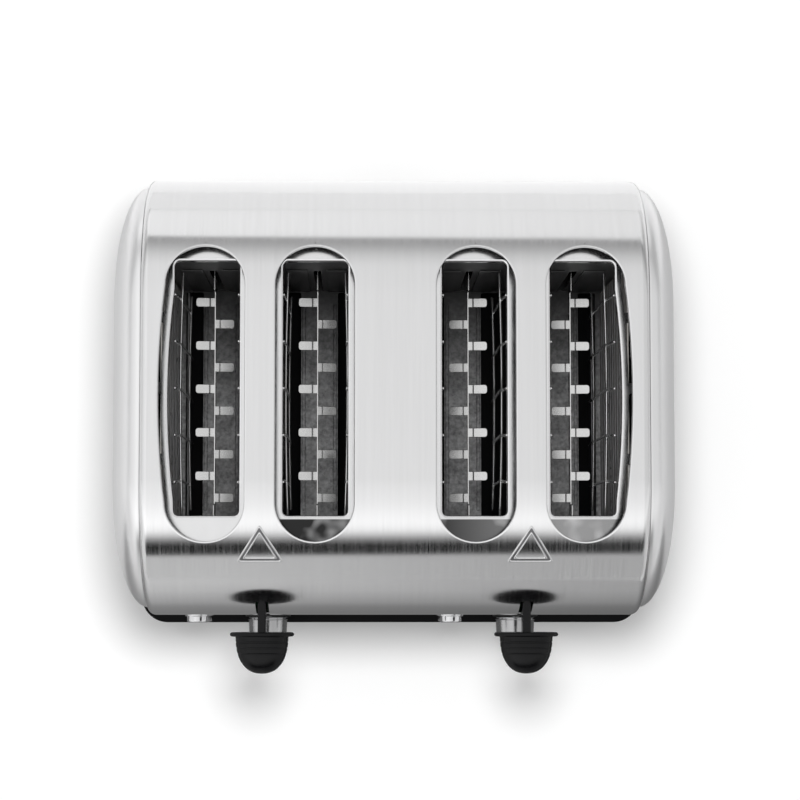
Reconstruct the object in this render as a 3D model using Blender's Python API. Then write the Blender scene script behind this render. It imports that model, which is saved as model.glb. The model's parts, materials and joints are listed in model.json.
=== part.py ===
"""Four-slice toaster: a brushed steel shell over two toasting chassis, each with its own lever and controls.

Metres. X runs across the front, +Y points to the back and Z = 0 is the surface that the feet stand on.
The origin is the middle of the whole toaster, levers included, at its foot.
"""

import math

import bmesh
import bpy

# Whole body
TOTAL_HEIGHT = 0.194
GAP = 0.0003  # clearance between two pieces that seat or slide on each other
OVERRUN = 0.002  # how far a cutter runs past the skin that it cuts
SINK = 0.001  # how far one shape runs into the next that it is fused to

# Steel shell, bent over the toaster from front to back
SHELL_DEPTH = 0.234
SHELL_CORNER_RADIUS = 0.070
SHELL_SHEET = 0.001
SHELL_EDGE_ROLL = 0.004

# End caps
CAP_BULGE = 0.0183
CAP_SHOULDER = 0.056
CAP_WALL = 0.002

# Plinth and feet
PLINTH_HEIGHT = 0.026
PLINTH_PROUD = 0.0058
PLINTH_SIDE_PROUD = 0.012
PLINTH_CORNER_RADIUS = 0.015
PLINTH_TAPER = 0.002
PLINTH_TAPER_HEIGHT = 0.006
PLINTH_EDGE = 0.0012
PLINTH_WALL = 0.0025
PLINTH_LEDGE_WIDTH = 0.0085
PLINTH_LEDGE_THICKNESS = 0.003
PLINTH_RIB = 0.002
FOOT_HEIGHT = 0.008
FOOT_RADIUS = 0.009
FOOT_CHAMFER = 0.001
FOOT_SETBACK = 0.026

# Cord gland in the back of the plinth
GLAND_BORE_RADIUS = 0.0036
GLAND_BODY_RADIUS = 0.0052
GLAND_FLANGE_RADIUS = 0.0078
GLAND_FLANGE = 0.0018

# Toast slots in the shell
SLOT_PITCH = 0.0564  # between the two slots of a pair
SLOT_WIDTH = 0.0408
SLOT_LENGTH = 0.1523
SLOT_SHIFT = -0.0026  # the slots' middle, from the shell's middle
SLOT_BOW = 0.0034  # how far the outermost long edges bow towards the ends
COLLAR_WALL = 0.0012

# Toasting chassis
CHASSIS_DROP = 0.019  # from the top of the shell down to the chassis's top plate
CHASSIS_SHEET = 0.001
CHASSIS_FRONT_SPACE = 0.05135  # from the front of the shell to the inside of the front wall
CHASSIS_BACK_SPACE = 0.04915
OPENING_WIDTH = 0.0353
OPENING_END_MARGIN = 0.0006
LIP_DEPTH = 0.003
TOP_PLATE_FRONT = 0.0155  # how far the top plate runs on past the front wall
TOP_PLATE_BACK = 0.0095
FLOOR_FRONT_CLEARANCE = 0.0061  # from the plinth's ledge to the front edge of the floor
PLATE_MARGIN = 0.009
CHASSIS_SIDE_SPACE = 0.00655  # from the side of a chassis to the shell's edge
CHASSIS_MIDDLE_SPACE = 0.01475  # from the side of a chassis to the middle of the toaster
STRIP_WIDTH = 0.0213
BEAD_SPACING = 0.018
BEAD_WIDTH = 0.002
BEAD_HEIGHT = 0.001
BEAD_LENGTH = 0.120
RAIL_WIDTH = 0.006
SLIT_WIDTH = 0.003
SLIT_TOP_DROP = 0.056
SLIT_CLEARANCE = 0.0015  # below the carriages' arms when the lever is down

# Heating boards: mica sheets with a flat heating strip wound round them
BOARD_SHEET = 0.001
BOARD_CLEARANCE = 0.006  # from the edge of the opening to the board
ELEMENT_STRIPS = 6
ELEMENT_WIDTH = 0.0025
ELEMENT_PROUD = 0.0005
ELEMENT_MARGIN = 0.016
BOARD_END_GAP = 0.0008

# Bread guards: wire grids that close in on the bread
GUARD_WIRE = 0.0016
GUARD_UPRIGHTS = 5
GUARD_PITCH = 0.0244
GUARD_LENGTH = 0.120
GUARD_TOP_RAIL_DROP = 0.060
GUARD_BOTTOM_RAIL_RISE = 0.030
GUARD_FOOT_CLEARANCE = 0.002

# Bread carriages
CARRIAGE_DROP = 0.092
CARRIAGE_SHEET = 0.001
CARRIAGE_WEB = 0.0085
CARRIAGE_END = 0.008
CARRIAGE_END_CLEARANCE = 0.0006
ARM_RISE = 0.0075
ARM_HEIGHT = 0.007
ARM_REACH = 0.006
ARM_BACK_REACH = 0.004
TABS = 5
TAB_FRONT_SPACE = 0.008975  # from the rack's front end to its first tab
TAB_BACK_SPACE = 0.010775
TAB_REACH = 0.0098
TAB_WIDTH = 0.005
TAB_SHEET = 0.001
TAB_STAGGER_SHARE = 0.5  # of the pitch, between a tab and the next one on the other side

# Carriage bracket and what guides, lifts and holds it
BAR_DEPTH = 0.006
BAR_OVERHANG = 0.004
BUSH_SIZE = 0.010
BUSH_HEIGHT = 0.014
RISER_WIDTH = 0.016
RISER_SHEET = 0.0015
ROD_RADIUS = 0.002
ROD_CLEARANCE = 0.0003
SPRING_OFFSET = 0.015
SPRING_RADIUS = 0.0035
SPRING_WIRE = 0.0005
SPRING_TURNS = 9
MAGNET_OFFSET = 0.014
MAGNET_WIDTH = 0.014
MAGNET_DEPTH = 0.010
MAGNET_HEIGHT = 0.025
MAGNET_CORE = 0.006
MAGNET_CORE_PROUD = 0.002
MAGNET_CLEARANCE = 0.0015
ARMATURE_SHEET = 0.0015

# Lever handle
LEVER_DROP = 0.046
LEVER_KNOB_CLEARANCE = 0.031  # from the knob's middle up to the lever's when it is down
STEM_WIDTH = 0.0042
STEM_HEIGHT = 0.012
LEVER_STANDOFF = 0.010
FLANGE_WIDTH = 0.0338
FLANGE_HEIGHT = 0.020
FLANGE_THICKNESS = 0.0022
PADDLE_WIDTH = 0.0278
PADDLE_HEIGHT = 0.016
PADDLE_REACH = 0.0195
PADDLE_ROUNDNESS = 2.3
PADDLE_TIP_SHARE = 0.13  # of the paddle's width and height that its flat tip keeps
LEVER_SLOT_WIDTH = 0.007
LEVER_SLOT_MARGIN = 0.002

# Browning knob
KNOB_RISE = 0.025  # from the top of the plinth up to the knob's middle
KNOB_RADIUS = 0.01125
KNOB_FRONT_RADIUS = 0.0105
KNOB_DEPTH = 0.0106
KNOB_CROWN = 0.0006
KNOB_EDGE = 0.0012
KNOB_MARK_WIDTH = 0.0014
KNOB_MARK_DEPTH = 0.0008
KNOB_MARK_LENGTH = 0.006
BEZEL_RADIUS = 0.0128
BEZEL_THICKNESS = 0.0015
SHAFT_RADIUS = 0.003
SHAFT_ENTRY = 0.005

# Push buttons, in a column left of each knob
BUTTON_OFFSET = 0.0375
BUTTON_RISES = (0.055, 0.0395, 0.024)  # from the top of the plinth
BUTTON_RADIUS = 0.006
BUTTON_PROUD = 0.0048
BUTTON_EDGE = 0.0010
BUTTON_FLANGE_RADIUS = 0.0072
BUTTON_FLANGE = 0.0012
BUTTON_STEM_RADIUS = 0.0018
BUTTON_TRAVEL = 0.002

# Control boards
BOARD_STANDOFF = 0.0105  # from the inside of the shell to the circuit board
CIRCUIT_SHEET = 0.0016
CIRCUIT_MARGIN = 0.010
CIRCUIT_HEAD = 0.011
CIRCUIT_STEM_CLEARANCE = 0.0075
SWITCH_SIZE = 0.006
SWITCH_DEPTH = 0.0035
DIAL_CONTROL_SIZE = 0.016

# Crumb trays
TRAY_WIDTH = 0.098
TRAY_SHEET = 0.001
TRAY_WALL_HEIGHT = 0.006
TRAY_PANEL_HEIGHT = 0.016
TRAY_PANEL = 0.0025
TRAY_GRIP_WIDTH = 0.040
TRAY_GRIP_PROUD = 0.0035
TRAY_GRIP_HEIGHT = 0.004
TRAY_SIDE_CLEARANCE = 0.0008
TRAY_FRONT_SETBACK = 0.012

# Facets
ARCH_STEPS = 10
ROLL_STEPS = 3
CAP_STEPS = 5
SLOT_STEPS = 6
ROUND_STEPS = 20
SMALL_ROUND_STEPS = 12
SPRING_STEPS = 7
SMOOTH_ANGLE = math.radians(35)
MERGE_DECIMALS = 7

# Levels and places that follow from the sizes above
HALF_SLOT_PITCH = SLOT_PITCH / 2
PAIR_SLOTS = (-HALF_SLOT_PITCH, HALF_SLOT_PITCH)  # the two slots' middles, from their pair's
PLATE_HALF_WIDTH = HALF_SLOT_PITCH + OPENING_WIDTH / 2 + PLATE_MARGIN
HALF_PAIR_PITCH = CHASSIS_MIDDLE_SPACE + PLATE_HALF_WIDTH
SHELL_HALF_WIDTH = HALF_PAIR_PITCH + PLATE_HALF_WIDTH + CHASSIS_SIDE_SPACE
SHELL_HALF_DEPTH = SHELL_DEPTH / 2
PLINTH_BOTTOM = FOOT_HEIGHT + GAP
PLINTH_TOP = FOOT_HEIGHT + PLINTH_HEIGHT
PLINTH_FLOOR_TOP = PLINTH_BOTTOM + PLINTH_WALL
PLINTH_HALF_WIDTH = SHELL_HALF_WIDTH + PLINTH_SIDE_PROUD
PLINTH_HALF_DEPTH = SHELL_HALF_DEPTH + PLINTH_PROUD
SHELL_BOTTOM = PLINTH_TOP + GAP
FLOOR_TOP = PLINTH_TOP
FLOOR_BOTTOM = FLOOR_TOP - CHASSIS_SHEET
FLOOR_SEAT = FLOOR_TOP + GAP
TOP_PLATE_TOP = TOTAL_HEIGHT - CHASSIS_DROP
TOP_PLATE_BOTTOM = TOP_PLATE_TOP - CHASSIS_SHEET
TOP_PLATE_SEAT = TOP_PLATE_BOTTOM - GAP
FRONT_WALL_INSIDE = CHASSIS_FRONT_SPACE - SHELL_HALF_DEPTH
FRONT_WALL_OUTSIDE = FRONT_WALL_INSIDE - CHASSIS_SHEET
BACK_WALL_INSIDE = SHELL_HALF_DEPTH - CHASSIS_BACK_SPACE
BACK_WALL_OUTSIDE = BACK_WALL_INSIDE + CHASSIS_SHEET
CHASSIS_LENGTH = BACK_WALL_INSIDE - FRONT_WALL_INSIDE
CHASSIS_SHIFT = (BACK_WALL_INSIDE + FRONT_WALL_INSIDE) / 2
OPENING_LENGTH = CHASSIS_LENGTH - 2 * OPENING_END_MARGIN
FLOOR_FRONT = PLINTH_LEDGE_WIDTH + FLOOR_FRONT_CLEARANCE - PLINTH_HALF_DEPTH
OUTER_BOARD_X = HALF_SLOT_PITCH + OPENING_WIDTH / 2 + BOARD_CLEARANCE
GUARD_X = OPENING_WIDTH / 2 - GUARD_WIRE / 2 - GAP
CARRIAGE_TOP = TOTAL_HEIGHT - CARRIAGE_DROP
ARM_TOP = CARRIAGE_TOP + ARM_RISE
ARM_BOTTOM = ARM_TOP - ARM_HEIGHT
BAR_BACK = FRONT_WALL_OUTSIDE - ARM_REACH - GAP
BAR_FRONT = BAR_BACK - BAR_DEPTH
ROD_Y = (BAR_BACK + BAR_FRONT) / 2
RISER_BACK = ROD_Y - BUSH_SIZE / 2
RISER_FRONT = RISER_BACK - RISER_SHEET
LEVER_Z = TOTAL_HEIGHT - LEVER_DROP
KNOB_Z = PLINTH_TOP + KNOB_RISE
LEVER_TRAVEL = LEVER_Z - KNOB_Z - LEVER_KNOB_CLEARANCE
MAGNET_BACK = RISER_FRONT - MAGNET_CLEARANCE
MAGNET_FRONT = MAGNET_BACK - MAGNET_DEPTH
MAGNET_TOP = FLOOR_SEAT + MAGNET_HEIGHT + MAGNET_CORE_PROUD
SHELL_FRONT = -SHELL_HALF_DEPTH
SHELL_FRONT_INSIDE = SHELL_FRONT + SHELL_SHEET
CIRCUIT_FRONT = SHELL_FRONT_INSIDE + BOARD_STANDOFF
CIRCUIT_BACK = CIRCUIT_FRONT + CIRCUIT_SHEET
LEVER_REACH = LEVER_STANDOFF + FLANGE_THICKNESS + PADDLE_REACH
BACK_REACH = PLINTH_PROUD + GAP + max(TRAY_GRIP_PROUD, GLAND_FLANGE)
BODY_Y = (LEVER_REACH - BACK_REACH) / 2

MATERIALS = {
    "brushed_steel": ((0.66, 0.66, 0.67), 0.30, 1.0),
    "cap_silver": ((0.72, 0.72, 0.73), 0.38, 0.9),
    "plinth_black": ((0.015, 0.015, 0.016), 0.45, 0.0),
    "foot_rubber": ((0.03, 0.03, 0.03), 0.85, 0.0),
    "chassis_steel": ((0.60, 0.60, 0.60), 0.28, 1.0),
    "wall_steel": ((0.16, 0.16, 0.165), 0.5, 0.7),
    "floor_steel": ((0.30, 0.30, 0.31), 0.5, 0.8),
    "mica_board": ((0.30, 0.29, 0.27), 0.65, 0.0),
    "carriage_steel": ((0.55, 0.55, 0.55), 0.35, 1.0),
    "guard_wire": ((0.50, 0.50, 0.50), 0.3, 1.0),
    "spring_steel": ((0.45, 0.45, 0.46), 0.3, 1.0),
    "magnet_coil": ((0.42, 0.16, 0.06), 0.4, 0.6),
    "lever_black": ((0.02, 0.02, 0.021), 0.3, 0.0),
    "knob_chrome": ((0.75, 0.75, 0.76), 0.12, 1.0),
    "bezel_black": ((0.02, 0.02, 0.02), 0.35, 0.0),
    "button_chrome": ((0.78, 0.78, 0.79), 0.1, 1.0),
    "circuit_board": ((0.05, 0.18, 0.08), 0.5, 0.0),
    "tray_steel": ((0.42, 0.42, 0.43), 0.4, 0.9),
}


def clear_scene():
    """Removes every object, so that the file holds only the toaster."""
    for obj in list(bpy.data.objects):
        bpy.data.objects.remove(obj)


def material_named(name):
    """The material of that name, made the first time that it is asked for."""
    found = bpy.data.materials.get(name)
    if found:
        return found
    colour, roughness, metallic = MATERIALS[name]
    made = bpy.data.materials.new(name)
    made.use_nodes = True
    shader = made.node_tree.nodes["Principled BSDF"]
    shader.inputs["Base Color"].default_value = (*colour, 1)
    shader.inputs["Roughness"].default_value = roughness
    shader.inputs["Metallic"].default_value = metallic
    made.diffuse_color = (*colour, 1)
    return made


def frame_at(name, location, parent=None):
    """An empty that carries the pieces of one assembly or of one moving body."""
    empty = bpy.data.objects.new(name, None)
    empty.location = location
    empty.parent = parent
    bpy.context.scene.collection.objects.link(empty)
    return empty


def add_mesh(name, points, faces, material, parent, smooth=False):
    """A mesh object whose faces all look outwards."""
    mesh = bpy.data.meshes.new(name)
    mesh.from_pydata(points, [], faces)
    shape = bmesh.new()
    shape.from_mesh(mesh)
    bmesh.ops.recalc_face_normals(shape, faces=shape.faces)
    shape.to_mesh(mesh)
    shape.free()
    if smooth:
        mesh.shade_smooth()
        mesh.set_sharp_from_angle(angle=SMOOTH_ANGLE)
    mesh.materials.append(material_named(material))
    obj = bpy.data.objects.new(name, mesh)
    obj.parent = parent
    bpy.context.scene.collection.objects.link(obj)
    return obj


def as_tool(obj):
    """Marks an object as a helper for a Boolean, which isn't part of the toaster."""
    obj.hide_render = True
    obj.display_type = "WIRE"
    return obj


def apply_tool(obj, tool, operation):
    """Cuts, fuses or trims obj with the tool, by a Boolean modifier."""
    modifier = obj.modifiers.new(f"{operation.lower()} {tool.name}", "BOOLEAN")
    modifier.operation = operation
    modifier.solver = "EXACT"
    modifier.object = as_tool(tool)


def ring_bands(first, size, count):
    """Quads between each of count rings of size points and the next, from point number first on."""
    quads = []
    for ring in range(count - 1):
        low = first + ring * size
        for i in range(size):
            j = (i + 1) % size
            quads.append((low + i, low + j, low + size + j, low + size + i))
    return quads


def loft(rings):
    """Points and faces of the closed body through the rings, with a flat face on each end."""
    size = len(rings[0])
    points = [point for ring in rings for point in ring]
    faces = ring_bands(0, size, len(rings))
    faces.append(tuple(range(size)))
    faces.append(tuple(range(len(points) - size, len(points))))
    return points, faces


def prism(outline, low, high):
    """Points and faces of an outline in X and Y, raised from low to high."""
    return loft([[(x, y, z) for x, y in outline] for z in (low, high)])


def joined(shapes):
    """Points and faces of several separate bodies as one mesh."""
    points, faces = [], []
    for more_points, more_faces in shapes:
        start = len(points)
        points += more_points
        faces += [tuple(start + i for i in face) for face in more_faces]
    return points, faces


def circle(radius, steps, centre=(0, 0)):
    """Points round a circle."""
    turn = 2 * math.pi / steps
    return [
        (centre[0] + radius * math.cos(i * turn), centre[1] + radius * math.sin(i * turn))
        for i in range(steps)
    ]


def turned(profile, steps):
    """Points and faces of the solid that (radius, height) pairs sweep round Z."""
    return loft([[(x, y, height) for x, y in circle(radius, steps)] for radius, height in profile])


def turned_ring(profile, steps):
    """Points and faces of the ring that a closed (radius, height) outline sweeps round Z."""
    rings = [[(x, y, height) for x, y in circle(radius, steps)] for radius, height in profile]
    points = [point for ring in rings for point in ring]
    faces = ring_bands(0, steps, len(rings))
    last = len(points) - steps
    for i in range(steps):
        j = (i + 1) % steps
        faces.append((last + i, last + j, j, i))
    return points, faces


def block(x, y, z):
    """An upright block from three (low, high) pairs."""
    return tuple((round(min(pair), MERGE_DECIMALS), round(max(pair), MERGE_DECIMALS)) for pair in (x, y, z))


def about(middle, size):
    """The (low, high) pair of a stretch of that size about its middle."""
    return middle - size / 2, middle + size / 2


def holds(blocks, centre):
    """Whether any block holds the point."""
    return any(all(low < c < high for c, (low, high) in zip(centre, spans)) for spans in blocks)


def fused_blocks(solids, hollows=()):
    """Points and faces of the one body that the solid blocks make, less the hollow ones.

    The blocks' own planes cut space into cells, and the skin is every side of a full cell that looks
    on an empty one.
    """
    planes = [
        sorted({edge for spans in (*solids, *hollows) for edge in spans[axis]}) for axis in range(3)
    ]
    counts = [len(edges) - 1 for edges in planes]

    def full(cell):
        if any(i < 0 or i >= count for i, count in zip(cell, counts)):
            return False
        centre = [(edges[i] + edges[i + 1]) / 2 for i, edges in zip(cell, planes)]
        return holds(solids, centre) and not holds(hollows, centre)

    numbers, faces = {}, []
    cells = [
        (i, j, k) for i in range(counts[0]) for j in range(counts[1]) for k in range(counts[2])
    ]
    filled = {cell for cell in cells if full(cell)}
    for cell in sorted(filled):
        for axis in range(3):
            for side in (0, 1):
                beyond = list(cell)
                beyond[axis] += 2 * side - 1
                if tuple(beyond) in filled:
                    continue
                first, second = [other for other in range(3) if other != axis]
                corners = []
                for a, b in ((0, 0), (1, 0), (1, 1), (0, 1)):
                    corner = list(cell)
                    corner[axis] += side
                    corner[first] += a
                    corner[second] += b
                    corners.append(numbers.setdefault(tuple(corner), len(numbers)))
                faces.append(tuple(corners))
    points = [tuple(planes[axis][i] for axis, i in enumerate(corner)) for corner in numbers]
    return points, faces


def add_blocks(name, material, parent, solids, hollows=()):
    """An object made of fused blocks."""
    return add_mesh(name, *fused_blocks(solids, hollows), material, parent)


def arch(inset, bottom):
    """(y, z) points over the toaster, from the foot of the front to the foot of the back."""
    half = SHELL_HALF_DEPTH - inset
    top = TOTAL_HEIGHT - inset
    radius = SHELL_CORNER_RADIUS - inset
    front = [(-half, bottom)]
    for step in range(ARCH_STEPS + 1):
        angle = math.pi / 2 * step / ARCH_STEPS
        front.append((-half + radius * (1 - math.cos(angle)), top - radius * (1 - math.sin(angle))))
    return front + [(-y, z) for y, z in reversed(front)]


def arch_ring(x, inset, bottom):
    """The arch at one place along X."""
    return [(x, y, z) for y, z in arch(inset, bottom)]


def rounded_rectangle(half_width, half_depth, radius):
    """Outline of a rectangle with round corners."""
    outline = []
    for corner in range(4):
        sign_x = 1 if corner in (0, 3) else -1
        sign_y = 1 if corner in (0, 1) else -1
        for step in range(SLOT_STEPS // 2 + 1):
            angle = math.pi / 2 * (corner + 2 * step / SLOT_STEPS)
            outline.append(
                (
                    sign_x * (half_width - radius) + radius * math.cos(angle),
                    sign_y * (half_depth - radius) + radius * math.sin(angle),
                )
            )
    return outline


def slot_outline(centre_x, outward, grow):
    """Outline of a toast slot, grown by a margin; its outward side (-1, 0 or 1 for none) may bow."""
    radius = SLOT_WIDTH / 2 + grow
    straight = SLOT_LENGTH / 2 - SLOT_WIDTH / 2
    outline = []
    for end in (1, -1):
        for step in range(SLOT_STEPS * 2 + 1):
            angle = math.pi * step / (SLOT_STEPS * 2) + (0 if end > 0 else math.pi)
            outline.append((radius * math.cos(angle), end * straight + radius * math.sin(angle)))
        side = -end
        if side == outward:
            for step in range(1, SLOT_STEPS):
                share = 2 * step / SLOT_STEPS - 1
                outline.append((side * (radius + SLOT_BOW * (1 - share**2)), -end * share * straight))
    return [(centre_x + x, SLOT_SHIFT + y) for x, y in outline]


def slot_places():
    """(x, bowed side) of each of the four toast slots, from left to right."""
    places = []
    for pair in (-1, 1):
        for slot in (-1, 1):
            x = pair * HALF_PAIR_PITCH + slot * HALF_SLOT_PITCH
            places.append((x, pair if pair == slot else 0))
    return places


def thin_sheet_faces(rings):
    """Faces of a bent sheet whose rings run out along its outside and back along its inside."""
    size = len(rings[0])
    faces = ring_bands(0, size, len(rings))
    for first in (0, size * (len(rings) - 1)):
        for j in range(size // 2 - 1):
            faces.append((first + j, first + j + 1, first + size - 2 - j, first + size - 1 - j))
    return faces


def shell_rings():
    """Sections of the shell along X, with its two edges rolled inwards."""
    flat_half = SHELL_HALF_WIDTH - SHELL_EDGE_ROLL
    inner_roll = SHELL_EDGE_ROLL - SHELL_SHEET
    rings = []
    for side in (-1, 1):
        steps = range(ROLL_STEPS + 1)
        for step in reversed(steps) if side < 0 else steps:
            angle = math.pi / 2 * step / ROLL_STEPS
            out, drop = math.sin(angle), 1 - math.cos(angle)
            sections = []
            for inset, roll in ((0, SHELL_EDGE_ROLL), (SHELL_SHEET, inner_roll)):
                x = side * (flat_half + roll * out)
                sections.append(arch_ring(x, inset + roll * drop, SHELL_BOTTOM))
            outside, inside = sections
            rings.append(outside + inside[::-1])
    return rings


def front_cut(outline):
    """Points and faces of a cutter that takes an outline in X and Z through the front of the shell."""
    back = SHELL_FRONT + SHELL_CORNER_RADIUS / 2
    rings = [[(x, y, z) for x, z in outline] for y in (SHELL_FRONT - OVERRUN, back)]
    return loft(rings)


def lever_slot_outline(x):
    """Outline in X and Z of the slot that the lever's stem runs in."""
    radius = LEVER_SLOT_WIDTH / 2
    top = LEVER_Z + STEM_HEIGHT / 2 + LEVER_SLOT_MARGIN - radius
    bottom = LEVER_Z - STEM_HEIGHT / 2 - LEVER_TRAVEL - LEVER_SLOT_MARGIN + radius
    outline = []
    for step in range(SLOT_STEPS + 1):
        angle = math.pi * step / SLOT_STEPS
        outline.append((x + radius * math.cos(angle), top + radius * math.sin(angle)))
    for step in range(SLOT_STEPS + 1):
        angle = math.pi * (1 + step / SLOT_STEPS)
        outline.append((x + radius * math.cos(angle), bottom + radius * math.sin(angle)))
    return outline


def build_shell(body):
    """The steel shell, with a collar round each toast slot and the cut-outs for the controls."""
    rings = shell_rings()
    points = [point for ring in rings for point in ring]
    shell = add_mesh("top_shell", points, thin_sheet_faces(rings), "brushed_steel", body, smooth=True)

    above = TOTAL_HEIGHT + OVERRUN
    collar_bottom = TOP_PLATE_TOP + GAP
    collars = joined(
        prism(slot_outline(x, bowed, COLLAR_WALL), collar_bottom, above) for x, bowed in slot_places()
    )
    mid_sheet = loft(
        [arch_ring(side * SHELL_HALF_WIDTH, SHELL_SHEET / 2, SHELL_BOTTOM) for side in (-1, 1)]
    )
    collar_tool = add_mesh("slot_collars", *collars, "brushed_steel", body)
    apply_tool(collar_tool, add_mesh("collar_limit", *mid_sheet, "brushed_steel", body), "INTERSECT")
    apply_tool(shell, collar_tool, "UNION")

    slots = joined(
        prism(slot_outline(x, bowed, 0), collar_bottom - OVERRUN, above) for x, bowed in slot_places()
    )
    apply_tool(shell, add_mesh("slot_cutter", *slots, "brushed_steel", body), "DIFFERENCE")

    cuts = []
    for pair in (-1, 1):
        x = pair * HALF_PAIR_PITCH
        cuts.append(front_cut(lever_slot_outline(x)))
        cuts.append(front_cut(circle(SHAFT_RADIUS + GAP, SMALL_ROUND_STEPS, (x, KNOB_Z))))
        for rise in BUTTON_RISES:
            place = (x - BUTTON_OFFSET, PLINTH_TOP + rise)
            cuts.append(front_cut(circle(BUTTON_RADIUS + GAP, SMALL_ROUND_STEPS, place)))
    apply_tool(shell, add_mesh("front_cutter", *joined(cuts), "brushed_steel", body), "DIFFERENCE")


def cap_rings(side, wall):
    """Sections of one skin of an end cap from its seam outwards; wall is how far inside it lies."""
    rings = []
    seam = SHELL_HALF_WIDTH + GAP
    bulge = CAP_BULGE - GAP - wall
    for step in range(CAP_STEPS + 1):
        angle = math.pi / 2 * step / CAP_STEPS
        inset = SHELL_EDGE_ROLL + wall + (CAP_SHOULDER - wall) * (1 - math.cos(angle))
        rings.append(arch_ring(side * (seam + bulge * math.sin(angle)), inset, SHELL_BOTTOM + wall))
    return rings


def build_end_cap(name, side, body):
    """A hollow end cap, bulging out from the shell's edge to a flat side."""
    rings = cap_rings(side, 0)[::-1] + cap_rings(side, CAP_WALL)
    add_mesh(name, *loft(rings), "cap_silver", body, smooth=True)


def plinth_outline(margin):
    """Outline of the plinth, drawn in by a margin."""
    return rounded_rectangle(
        PLINTH_HALF_WIDTH - margin, PLINTH_HALF_DEPTH - margin, PLINTH_CORNER_RADIUS - margin
    )


def build_plinth(body):
    """The black base tray with its ledge, the ribs that carry the chassis, and its cut-outs."""
    rings = []
    for margin, z in (
        (PLINTH_TAPER, PLINTH_BOTTOM),
        (0, PLINTH_BOTTOM + PLINTH_TAPER_HEIGHT),
        (0, PLINTH_TOP - PLINTH_EDGE),
        (PLINTH_EDGE, PLINTH_TOP),
    ):
        rings.append([(x, y, z) for x, y in plinth_outline(margin)])
    plinth = add_mesh("base_plinth", *loft(rings), "plinth_black", body, smooth=True)
    for name, margin, low, high in (
        ("plinth_hollow", PLINTH_WALL, PLINTH_FLOOR_TOP, PLINTH_TOP - PLINTH_LEDGE_THICKNESS),
        ("plinth_mouth", PLINTH_LEDGE_WIDTH, PLINTH_FLOOR_TOP + OVERRUN, PLINTH_TOP + OVERRUN),
    ):
        hollow = prism(plinth_outline(margin), low, high)
        apply_tool(plinth, add_mesh(name, *hollow, "plinth_black", body), "DIFFERENCE")

    rib_front = (FRONT_WALL_OUTSIDE + FLOOR_FRONT) / 2
    rib_back = PLINTH_HALF_DEPTH - PLINTH_WALL + SINK
    rib_x = TRAY_WIDTH / 2 + TRAY_SIDE_CLEARANCE + PLINTH_RIB / 2
    ribs = []
    for pair in (-1, 1):
        for rib in (-1, 1):
            x = pair * HALF_PAIR_PITCH + rib * rib_x
            spans = block(
                about(x, PLINTH_RIB), (rib_front, rib_back), (PLINTH_FLOOR_TOP - SINK, FLOOR_BOTTOM - GAP)
            )
            ribs.append(fused_blocks([spans]))
    apply_tool(plinth, add_mesh("plinth_ribs", *joined(ribs), "plinth_black", body), "UNION")

    wall_inside = PLINTH_HALF_DEPTH - PLINTH_WALL - OVERRUN / 2
    bays = []
    for pair in (-1, 1):
        width = TRAY_WIDTH + 2 * GAP
        sill = PLINTH_FLOOR_TOP + GAP
        spans = block(
            about(pair * HALF_PAIR_PITCH, width),
            (wall_inside, PLINTH_HALF_DEPTH + OVERRUN),
            (sill, sill + TRAY_PANEL_HEIGHT + 2 * GAP),
        )
        bays.append(fused_blocks([spans]))
    apply_tool(plinth, add_mesh("tray_bays", *joined(bays), "plinth_black", body), "DIFFERENCE")

    hole = circle(GLAND_BODY_RADIUS + GAP, SMALL_ROUND_STEPS, (0, gland_z()))
    rings = [[(x, y, z) for x, z in hole] for y in (wall_inside, PLINTH_HALF_DEPTH + OVERRUN)]
    apply_tool(plinth, add_mesh("gland_hole", *loft(rings), "plinth_black", body), "DIFFERENCE")


def gland_z():
    """Height of the cord gland's middle, halfway up the free part of the plinth's wall."""
    return (PLINTH_FLOOR_TOP + PLINTH_TOP - PLINTH_LEDGE_THICKNESS) / 2


def build_gland(body):
    """The bush that the cord leaves through, with its flange on the outside."""
    flange_foot = GAP
    profile = [
        (GLAND_BORE_RADIUS, -PLINTH_WALL - SINK),
        (GLAND_BODY_RADIUS, -PLINTH_WALL - SINK),
        (GLAND_BODY_RADIUS, flange_foot),
        (GLAND_FLANGE_RADIUS, flange_foot),
        (GLAND_FLANGE_RADIUS, flange_foot + GLAND_FLANGE),
        (GLAND_BORE_RADIUS, flange_foot + GLAND_FLANGE),
    ]
    shape = turned_ring(profile, SMALL_ROUND_STEPS)
    gland = add_mesh("cord_gland", *shape, "plinth_black", body, smooth=True)
    gland.location = (0, PLINTH_HALF_DEPTH, gland_z())
    gland.rotation_euler = (-math.pi / 2, 0, 0)


def build_feet(body):
    """Four rubber feet under the plinth's corners."""
    profile = [
        (FOOT_RADIUS - FOOT_CHAMFER, 0),
        (FOOT_RADIUS, FOOT_CHAMFER),
        (FOOT_RADIUS, FOOT_HEIGHT),
    ]
    for depth_name, depth_side in (("front", -1), ("back", 1)):
        for side_name, side in (("left", -1), ("right", 1)):
            shape = turned(profile, SMALL_ROUND_STEPS)
            foot = add_mesh(f"foot_{depth_name}_{side_name}", *shape, "foot_rubber", body, smooth=True)
            foot.location = (
                side * (PLINTH_HALF_WIDTH - FOOT_SETBACK),
                depth_side * (PLINTH_HALF_DEPTH - FOOT_SETBACK),
                0,
            )


def chassis_width():
    """The (low, high) pair that a pair's chassis takes along X."""
    return about(0, 2 * PLATE_HALF_WIDTH)


def between_walls():
    """The (low, high) pair along Y that is free between the end walls."""
    return FRONT_WALL_INSIDE + GAP, BACK_WALL_INSIDE - GAP


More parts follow.
